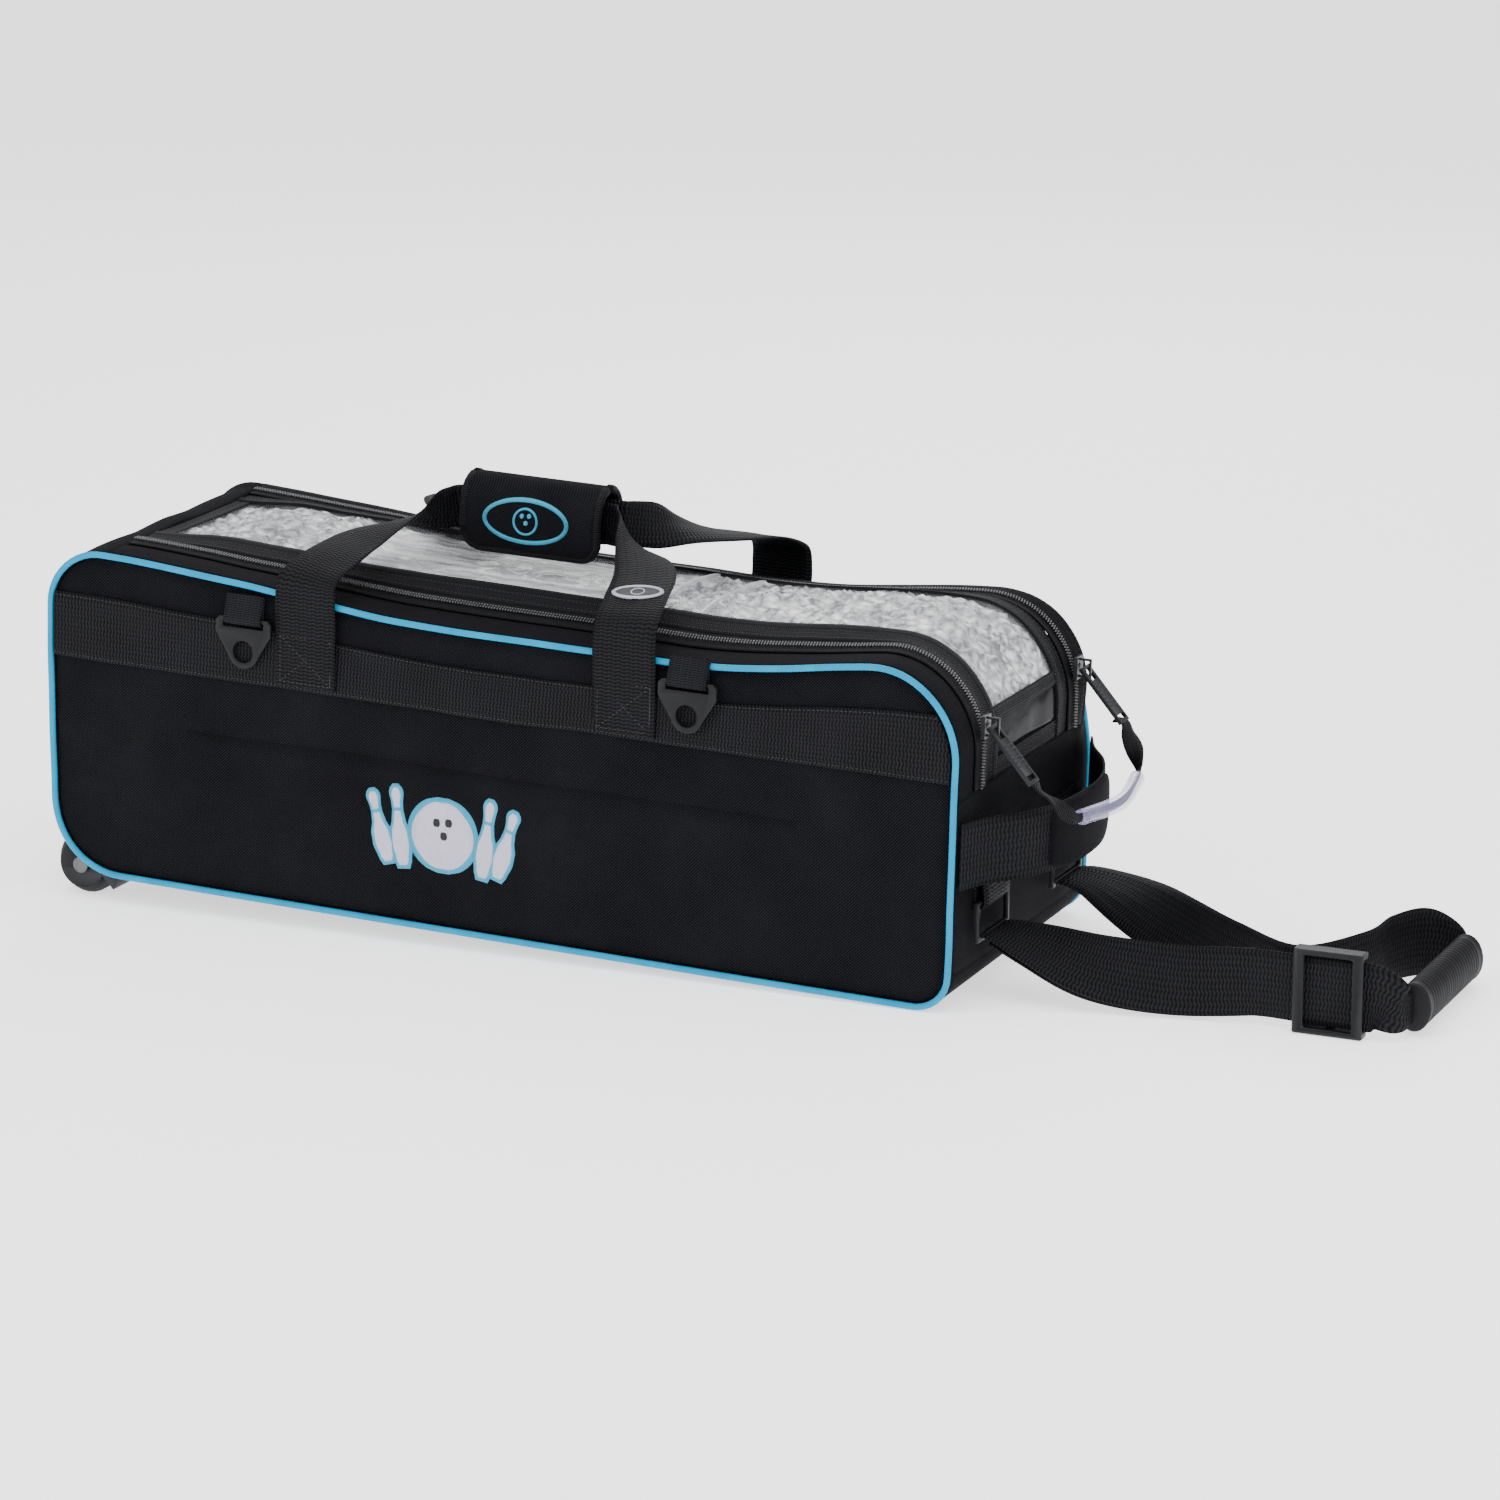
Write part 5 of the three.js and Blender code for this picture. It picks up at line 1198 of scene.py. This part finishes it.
ARCH = ribbed_webbing("handle_webbing", (0.0003, 0.0003, 0.0004), (0.013, 0.013, 0.016), 0.0036, 0.0044)
arch_run = [(tuple(end_arch(f)), (0, 0, 1), WEBBING_W) for f in steps(-1, 1, 0.2)]
arch = ribbon("end_strap", arch_run, 2.4, ARCH, per=5, columns=8, buckle=0.7)
fitted(arch, "bag", "webbing", ["end_handle"])


def sleeve_form():
    """A flat closed tube of padding round the strap, a little fuller at its middle."""
    centres = [end_arch(f) for f in steps(-0.43, 0.43, 0.026)]
    rings, around = [], 22
    for i, centre in enumerate(centres):
        along = (centres[min(i + 1, len(centres) - 1)] - centres[max(i - 1, 0)]).normalized()
        out = along.cross(Vector((0, 0, 1))).normalized()
        f = abs(2 * i / (len(centres) - 1) - 1)
        full = 1 - 0.25 * f ** 6
        ring = []
        for j in range(around):
            angle = 2 * math.pi * j / around
            c, s = math.cos(angle), math.sin(angle)
            high = 27.0 * math.copysign(abs(c) ** 0.6, c) * full
            deep = 4.6 * math.copysign(abs(s) ** 0.7, s) * full
            ring.append(from_bag(centre + Vector((0, 0, high)) + out * deep))
        rings.append(ring)
    return ring_skin("end_sleeve", rings, None, SOFT)


end_sleeve = sleeve_form()
puff(end_sleeve, 0.003, 3.0, 0.004)
fitted(end_sleeve, "bag", "bag_fabric", ["end_handle_sleeve"])

# ---- Pull strap --------------------------------------------------------------
# A long 50 mm strap starts at a ring on each side of the pull end and lies on
# edge on the ground.  The front run is doubled back through the adjuster.
corner = Vector((HALF_L - CORNER_BASE_PULL, 0, CORNER_BASE_PULL))
corner_stands = Vector((corner.x, 0, corner.z + PIPING_PROUD))
BAG_IN_GROUND = corner_stands - bag_along * corner.x - bag_up * corner.z


def from_ground(p):
    """The same millimetres, but level with the ground instead of with the bag."""
    return bag_origin + (Vector(p) - BAG_IN_GROUND) / 1000


ANCHOR_Y, ANCHOR_Z, ANCHOR_H, LOOP_RING_H = 76.0, 74.0, 30.0, 26.0
ring_low, ring_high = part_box("strap_ring_front")
RING_GROUND = Vector(((ring_low.x + ring_high.x) / 2, 0, 0)) - from_ground((0, 0, 0))
ANCHOR_X = RING_GROUND.x * 1000
EDGE_Z, GLIDE_X, GLIDE_Y, GLIDE_Z = 25.6, 263.0, -71.0, 32.0
GRIP_X, GRIP_Y, GRIP_Z = 318.0, (-50.0, 84.0), 21.0
START_X, BAR_LOW = ANCHOR_X + 5.8, ANCHOR_Z - LOOP_RING_H
END = HALF_L


def down_to_edge(share):
    return BAR_LOW + share * (EDGE_Z - BAR_LOW)


STRAP = ribbed_webbing("strap_webbing", (0.0002, 0.0002, 0.0003), (0.012, 0.012, 0.0145), 0.0028, 0.0044)
front_run = [((ANCHOR_X, -ANCHOR_Y, BAR_LOW - 2.6), (0, 1, 0), WEBBING_W),
             ((START_X, -ANCHOR_Y, BAR_LOW + 1), (0, 1, 0), WEBBING_W),
             ((START_X + 32, -ANCHOR_Y - 1, down_to_edge(0.27)), (0, 1, 0.35), WEBBING_W),
             ((END + 92, -ANCHOR_Y - 3, EDGE_Z + 6), (0, 0.7, 0.8), WEBBING_W),
             ((END + 150, -ANCHOR_Y + 2, EDGE_Z + 2), (0, 0.25, 1), WEBBING_W),
             ((END + GLIDE_X - 60, GLIDE_Y, GLIDE_Z), (0, 0, 1), WEBBING_W),
             ((END + GLIDE_X - 20, GLIDE_Y, GLIDE_Z), (0, 0, 1), WEBBING_W),
             ((END + GLIDE_X + 33, GLIDE_Y, GLIDE_Z - 1), (0, 0, 1), WEBBING_W),
             ((END + GRIP_X - 4, GLIDE_Y + 5, EDGE_Z - 3), (0, 0, 1), 32)]
grip_run = [((END + GRIP_X, y, GRIP_Z), (0, 0, 1), 20) for y in (GRIP_Y[0] + 8, 17, GRIP_Y[1] - 8)]
rear_run = [((END + GRIP_X - 10, GRIP_Y[1] + 14, EDGE_Z - 3), (0, 0, 1), 32),
            ((END + GRIP_X - 34, GRIP_Y[1] + 12, EDGE_Z), (0, 0, 1), WEBBING_W),
            ((END + GRIP_X - 52, GRIP_Y[1] - 16, EDGE_Z), (0, 0, 1), WEBBING_W),
            ((END + GRIP_X - 58, GRIP_Y[1] - 62, EDGE_Z), (0, 0, 1), WEBBING_W),
            ((END + 226, -30, EDGE_Z), (0, 0, 1), WEBBING_W),
            ((END + 170, -2, EDGE_Z + 1), (0, 0.2, 1), WEBBING_W),
            ((END + 105, 40, EDGE_Z + 6), (0, 0.6, 0.8), WEBBING_W),
            ((START_X + 34, ANCHOR_Y - 4, down_to_edge(0.22)), (0, 1, 0.3), WEBBING_W),
            ((START_X + 1, ANCHOR_Y, BAR_LOW + 1), (0, 1, 0), WEBBING_W),
            ((ANCHOR_X, ANCHOR_Y, BAR_LOW - 2.6), (0, 1, 0), WEBBING_W)]
strap = ribbon("pull_strap", front_run + grip_run + rear_run, 1.8, STRAP, per=9, to_place=from_ground,
               columns=8, buckle=0.8)
fitted(strap, "pull_strap", "webbing", ["pull_strap_webbing"])

TAIL_LOWER, TAIL_BEHIND = (3.4, 5, 4, 2, 0), (0, 3, 4, 4, 4)
tail_run = [((x, y + behind, z - lower), wide, width)
            for ((x, y, z), wide, width), lower, behind in zip(front_run[1:6], TAIL_LOWER, TAIL_BEHIND)]
tail_run[-1] = ((END + GLIDE_X - 52, GLIDE_Y + 4, GLIDE_Z), (0, 0, 1), WEBBING_W)
tail = ribbon("pull_strap_lower", tail_run, 1.8, STRAP, per=9, to_place=from_ground, columns=8, buckle=0.8)
fitted(tail, "pull_strap", "webbing", ["pull_strap_tail"])

for side, label in SIDES:
    eased(f"strap_ring_{label}", f"loop_ring_{label}", "pull_strap", MOULDED, "hardware", 0.001, 3)
    loop_path = ((-4.2, ANCHOR_H + 9), (-3.6, ANCHOR_H - 4), (-3.9, 6), (-2.8, -2.2), (0, -3.8),
                 (2.8, -2.2), (3.9, 6), (0.5, ANCHOR_H - 2), (-2.4, ANCHOR_H + 8))
    loop_stops = [((ANCHOR_X + dx, side * ANCHOR_Y, ANCHOR_Z + dz), (0, 1, 0), WEBBING_W)
                  for dx, dz in loop_path]
    anchor = ribbon(f"anchor_loop_{label}", loop_stops, WEBBING_T, WEBBING, per=5, to_place=from_ground)
    fitted(anchor, "bag", "webbing", [f"strap_anchor_{label}"])

eased("strap_adjuster", "adjuster_slide", "adjuster", MOULDED, "hardware", 0.0014, 3)

# ---- Pull grip ---------------------------------------------------------------
# The far end of the strap runs through a moulded rubber grip, ribbed across so
# that it doesn't slip in the hand, with a plain rolled lip at each end.
GRIP_A, GRIP_B, RIB_PITCH = 18.0, 13.0, 5.2
RUBBER = mottled("grip_rubber", (0.004, 0.004, 0.005), 0.5, (40, 4), (0.002, 0.002, 0.0025),
                 (0.012, 0.012, 0.014), (1100, 2, 0.0003, 0.6), (0.45, 0.7), Specular_IOR_Level=0.16)
grip_line, grip_size = [], []
for y in steps(GRIP_Y[0], GRIP_Y[1], 1.1):
    near_end = min(y - GRIP_Y[0], GRIP_Y[1] - y)
    ribs_here = 0.6 * math.cos(2 * math.pi * y / RIB_PITCH) * smooth(9, 12, near_end)
    lip = 0.9 * (1 - smooth(3.0, 6.0, near_end)) - 2.5 * (1 - smooth(0.0, 1.6, near_end))
    grip_line.append(from_ground((END + GRIP_X, y, GRIP_Z)))
    grip_size.append((GRIP_A - 0.8 + ribs_here + lip) / 1000)
grip = tube("pull_grip", grip_line, 28, grip_size, RUBBER, squeeze=GRIP_B / GRIP_A,
            ups=[(1, 0, 0)] * len(grip_line))
fitted(grip, "pull_strap", "grip_rubber", ["pull_strap_grip"])

# ---- Wheels ------------------------------------------------------------------
# Two small wheels sit in moulded housings under the wheel end, each on a steel
# axle with a flat rivet head.  The tyres are hard rubber with fine grooves.
STEEL = mottled("rivet_steel", (0.42, 0.43, 0.45), 0.34, (180, 5), (0.05, 0.05, 0.053),
                (0.17, 0.17, 0.175), (700, 2, 0.0002, 0.4), (0.25, 0.5), Metallic=1.0)


def tyre_rubber():
    look = Looks("tyre", (0.012, 0.012, 0.013), 0.7, Specular_IOR_Level=0.3)
    place = look.node("ShaderNodeTexCoord").outputs["Object"]
    over = look.node("ShaderNodeSeparateXYZ", {"Vector": place}).outputs["Y"]
    grooves = look.math("POWER", look.wave(over, 0.0036), 4.0)
    dust = look.grain(60, 4)
    look.tint(dust, (0.006, 0.006, 0.006), (0.04, 0.039, 0.037))
    look.relief(look.math("ADD", grooves, look.math("MULTIPLY", dust, 0.4)), 0.0008, 0.8)
    look.shine(dust, 0.6, 0.85)
    return look.material


TYRE = tyre_rubber()
for side, label in SIDES:
    eased(f"wheel_housing_{label}", f"housing_{label}", "bag", MOULDED, "hardware", 0.0012, 3)
    eased(f"axle_{label}", f"axle_pin_{label}", "bag", STEEL, "rivet_steel", 0.0005, 3)
    eased(f"wheel_hub_{label}", f"hub_{label}", f"wheel_{label}", MOULDED, "hardware", 0.0008, 3)
    eased(f"wheel_tyre_{label}", f"tyre_{label}", f"wheel_{label}", TYRE, "tyre", 0.0007, 3)

# ---- Inside ------------------------------------------------------------------
# A stiff board and a dished foam lie on the base, and two foam dividers faced
# with cloth keep the three balls apart.
BOARD = mottled("board", (0.015, 0.015, 0.017), 0.5, (30, 4), (0.008, 0.008, 0.009), (0.03, 0.03, 0.034),
                (500, 3, 0.0004, 0.5), Specular_IOR_Level=0.4)


def foam_cells():
    look = Looks("foam", (0.02, 0.02, 0.022), 0.95, Specular_IOR_Level=0.15)
    place = look.node("ShaderNodeTexCoord").outputs["Object"]
    cells = look.node("ShaderNodeTexVoronoi", {"Vector": place}, Scale=700.0).outputs["Distance"]
    # The colour follows the cells: darker in the pore hollows as painted shade.
    look.tint(cells, (0.008, 0.008, 0.009), (0.035, 0.035, 0.038))
    look.relief(cells, 0.0006, 0.8)
    return look.material


FOAM = foam_cells()
eased("base_board", "floor_board", "bag", BOARD, "board", 0.001)
eased("base_foam", "floor_foam", "bag", FOAM, "foam", 0.001)
for label in ("wheel_side", "pull_side"):
    eased(f"divider_{label}", f"ball_divider_{label}", "bag", FOAM, "foam", 0.002, 3)

# ---- Stitching ---------------------------------------------------------------
# Lockstitch in black thread, a shade lighter than the cloth: along the bands, the
# binding and the straps, and in boxes where the handle legs are sewn down.
STITCH_PITCH, STITCH = 3.6, (2.5, 0.6, 0.5)


def thread():
    look = Looks("thread", (0.018, 0.018, 0.02), 0.5, Specular_IOR_Level=0.4)
    look.tint(look.grain(600, 2), (0.010, 0.010, 0.011), (0.04, 0.04, 0.045))
    look.shine(look.grain(300, 2), 0.4, 0.6)
    return look.material


THREAD = thread()


def panel_line(points, side, proud):
    """Places and ups along a line of (x, z) points on a side panel."""
    return [(on_panel(x, z, side, proud), Vector((0, side, 0))) for x, z in points]


def sewn(name, lines, body=None):
    """Stitches along lines; without a body they bend where the lid folds."""
    made = fitted(repeated(name, STITCH_TREE, lines, STITCH_PITCH, STITCH, THREAD), body, "webbing")
    if body is None:
        folds(made)


for side, label in SIDES:
    lines = []
    for v in (-WEBBING_W / 2 + 2.5, WEBBING_W / 2 - 2.5):
        pull, wheel = span_at(BAND_Z + v, PANEL_EDGE + 2)
        row = [(x, BAND_Z + v) for x in steps(wheel, pull, 9)]
        lines.append(panel_line(row, side, GAP + WEBBING_T + 0.15))
    for x in LEG_X:
        belly = settle(x, HALF_W, BAND_Z).y - HALF_W
        y = side * (BAND_FACE + 1.2 + belly + WEBBING_T / 2 + 0.1)
        low, high, half = BAND_Z - FOOT_DROP + 3, BAND_Z + 16, WEBBING_W / 2 - 4
        box_line = [(x - half, low), (x + half, low), (x + half, high), (x - half, high), (x - half, low),
                    (x + half, high), (x + half, low), (x - half, high)]
        lines.append([(from_bag((px, y, pz)), Vector((0, side, 0))) for px, pz in box_line])
    sewn(f"stitches_{label}", lines, "bag")
    rows = ((WINDOW_HALF + 3.2, 1.05), (WINDOW_HALF + 8.5, 0.15), (TAPE_IN - 2, 0.1))
    sewn(f"lid_stitches_{label}", [line_on_band(LID_FROM + 4, LID_TO - 3, side * y, proud, bind_roll)
                                   for y, proud in rows])
    tape_lines = [line_on_band(LID_FROM, LID_TO, side * (TAPE_OUT + 2.5), 0.1)]
    sewn(f"strip_stitches_{label}", tape_lines, "bag")


def across_lid(s, proud, swell):
    """A line across the lid at one place along it."""
    return [raised(s, y, proud + swell(s, y)) for y in steps(-WINDOW_HALF + 2, WINDOW_HALF - 2, 5)]


tip_rows = [across_lid(LID_FROM + at, 0.1, lid_crown) for at in (3, 10)]
tip_rows += [across_lid(PATCH_SEAM + at, 0.75, window_swell) for at in (-3, 3)]
sewn("lid_tip_stitches", tip_rows, "lid_end")
sewn("lid_back_stitches", [across_lid(LID_TO - at, 0.1, lid_crown) for at in (3, 10)], "bag")

# ---- Embroidery --------------------------------------------------------------
# A generic sign is embroidered low on the front panel: a ball with three finger
# holes between four pins, in pale thread with a light blue border.
PALE, SKY, DARK = (0.62, 0.60, 0.74), (0.02, 0.36, 0.56), (0.004, 0.004, 0.005)
SIGN_X, SIGN_Z = -34.0, 75.0


def satin_thread(name, color):
    """Satin stitch: close parallel threads with a soft sheen. Each thread's colour is painted lighter on its
    crest and darker at its sides: painted highlight and painted shade from lit and shaded copies of the
    thread colour.
    """
    look = Looks(name, color, 0.42, Specular_IOR_Level=0.4, Sheen_Weight=0.1, Sheen_Roughness=0.3)
    along, over = look.cloth_axes()
    threads = look.wave(over, 0.00085)
    length = look.grain(220, 3)
    # dark and light are shaded and lit copies of the thread colour: painted shade and painted highlight
    # across the threads
    dark = [c * 0.62 for c in color]
    light = [min(1, c * 1.3) for c in color]
    look.tint(look.math("MULTIPLY_ADD", threads, 0.7, look.math("MULTIPLY", length, 0.3)), dark, light)
    look.relief(threads, 0.0005, 0.9)
    look.shine(length, 0.34, 0.55)
    return look.material


def merged(name, items):
    """Several meshes as one piece."""
    work = bmesh.new()
    for item in items:
        work.from_mesh(item.data)
    mesh = bpy.data.meshes.new(name)
    work.to_mesh(mesh)
    work.free()
    mesh.materials.append(items[0].data.materials[0])
    for item in items:
        bpy.data.objects.remove(item)
    mesh.shade_smooth()
    return into_scene(name, mesh)


def satin_fill(to_place, tall, width_at, proud, material, grow=0.0):
    """A raised shape, tall high and width_at(t) to each side of its middle line."""
    def spot(t, f):
        half = width_at(min(max(t, 0.002), 0.998)) + grow
        v = (t - 0.5) * (tall + 2 * grow)
        round_off = 1 - 0.8 * max(abs(f), abs(2 * t - 1)) ** 8
        return (to_place(f * half, v, proud * round_off), to_place(f * half, v, -0.6),
                (f * half / 1000, v / 1000))

    return cloth_sheet("fill", steps(0, 1, 0.045), steps(-1, 1, 0.25), spot, material)


def satin_ring(to_place, across, tall, rim, proud, material):
    """A raised oval border of even width."""
    def spot(turn, f):
        a, b = across - rim / 2 + f * rim / 2, tall - rim / 2 + f * rim / 2
        at = (a * math.cos(turn), b * math.sin(turn))
        return (to_place(*at, proud * (1 - 0.6 * f * f)), to_place(*at, -0.5),
                (f * rim / 2000, turn * across / 1000))

    return cloth_sheet("ring", steps(0, 2 * math.pi, 0.11)[:-1], (-1, -0.6, 0, 0.6, 1), spot, material, True)


def disc_width(radius):
    return lambda t: radius * math.sqrt(max(0.0, 1 - (2 * t - 1) ** 2))


PIN_SHAPE = [(0.0, 3.4), (0.1, 5.6), (0.28, 7.6), (0.42, 7.0), (0.6, 3.8), (0.7, 2.9), (0.78, 3.2),
             (0.9, 4.4), (0.97, 3.2), (1.0, 0.6)]


def pin_width(t):
    i = next(k for k in range(1, len(PIN_SHAPE)) if t <= PIN_SHAPE[k][0])
    (t0, w0), (t1, w1) = PIN_SHAPE[i - 1], PIN_SHAPE[i]
    return w0 + (w1 - w0) * smooth(0, 1, (t - t0) / (t1 - t0))


def turned(x, z, lean):
    """Panel places from sizes about a centre, leaning by so many degrees."""
    c, s = math.cos(math.radians(lean)), math.sin(math.radians(lean))
    return lambda u, v, proud: on_panel(x + u * c + v * s, z - u * s + v * c, -1, proud)


pale_thread, sky_thread, dark_thread = (satin_thread(*pair) for pair in
                                        (("thread_pale", PALE), ("thread_sky", SKY), ("thread_dark", DARK)))
PINS = [(-52, 0.0, -16, 56), (-36, 2.0, -7, 62), (36, 2.0, 7, 62), (52, 0.0, 16, 56)]
pale_parts, sky_parts, dark_parts = [], [], []
ball_at = turned(SIGN_X, SIGN_Z, 0)
sky_parts.append(satin_fill(ball_at, 54, disc_width(27), 0.9, sky_thread, grow=2.4))
pale_parts.append(satin_fill(ball_at, 54, disc_width(27), 1.5, pale_thread))
for x, z in ((-4.5, 10), (5.5, 11), (1.5, 0.5)):
    dark_parts.append(satin_fill(turned(SIGN_X + x, SIGN_Z + z, 0), 7.4, disc_width(3.7), 1.9, dark_thread))
for x, z, lean, tall in PINS:
    at = turned(SIGN_X + x, SIGN_Z + z, lean)
    sky_parts.append(satin_fill(at, tall, pin_width, 0.9, sky_thread, grow=1.8))
    pale_parts.append(satin_fill(at, tall, pin_width, 1.5, pale_thread))
    neck = turned(SIGN_X + x + tall * 0.22 * math.sin(math.radians(lean)),
                  SIGN_Z + z + tall * 0.22 * math.cos(math.radians(lean)), lean)
    sky_parts.append(satin_fill(neck, 3.0, lambda t: 3.2, 1.9, sky_thread))
for name, parts in (("sign_pale", pale_parts), ("sign_sky", sky_parts), ("sign_dark", dark_parts)):
    fitted(merged(name, parts), "bag", "bag_fabric")

# ---- Badges ------------------------------------------------------------------
# A blue oval with a small ball is embroidered on the front of the hand wrap, and
# a pale oval tab with the same ball is sewn to the leg beside it.
work = bmesh.new()
work.from_mesh(wrap.data)
wrap_skin = BVHTree.FromBMesh(work)
work.free()
BADGE_X, BADGE_Z = -27.0, BAR_Z - 2


def on_wrap(u, v, proud):
    """A place on the front of the stuffed wrap."""
    start = from_bag((BADGE_X + u, -90, BADGE_Z + v))
    hit = wrap_skin.ray_cast(start, Vector((0, 1, 0)))[0]
    return hit + Vector((0, -proud / 1000, 0))


badge = merged("wrap_badge", [satin_ring(on_wrap, 36, 17.5, 3.4, 1.3, sky_thread),
                              satin_ring(on_wrap, 10.5, 10.5, 1.8, 1.2, sky_thread)]
               + [satin_fill(lambda u, v, p, x=x, z=z: on_wrap(u + x, v + z, p), 3.6, disc_width(1.8), 1.2,
                             sky_thread) for x, z in ((-3, 4), (3, 4.5), (0.5, -1))])
fitted(badge, "front_handle", "bag_fabric")

BADGE_ROW = 36
place, wide, out, width = ribbon_frames(leg_stops(1, -1), 7, from_bag)[BADGE_ROW]
along = out.cross(wide).normalized()
face_out = out if out.y < 0 or out.z > 0.5 else -out


def on_leg(u, v, proud):
    return place + (wide * u + along * v + face_out * (proud + 0.9)) / 1000


tab_cloth = merged("leg_badge_cloth", [satin_fill(on_leg, 21, disc_width(19.5), 0.7, dark_thread)])
leg_ring = merged("leg_badge_ring", [satin_ring(on_leg, 19.5, 10.5, 3.2, 1.3, pale_thread),
                                     satin_ring(on_leg, 5.4, 5.4, 1.2, 1.2, pale_thread)])
for item in (tab_cloth, leg_ring):
    fitted(item, "front_handle", "bag_fabric")
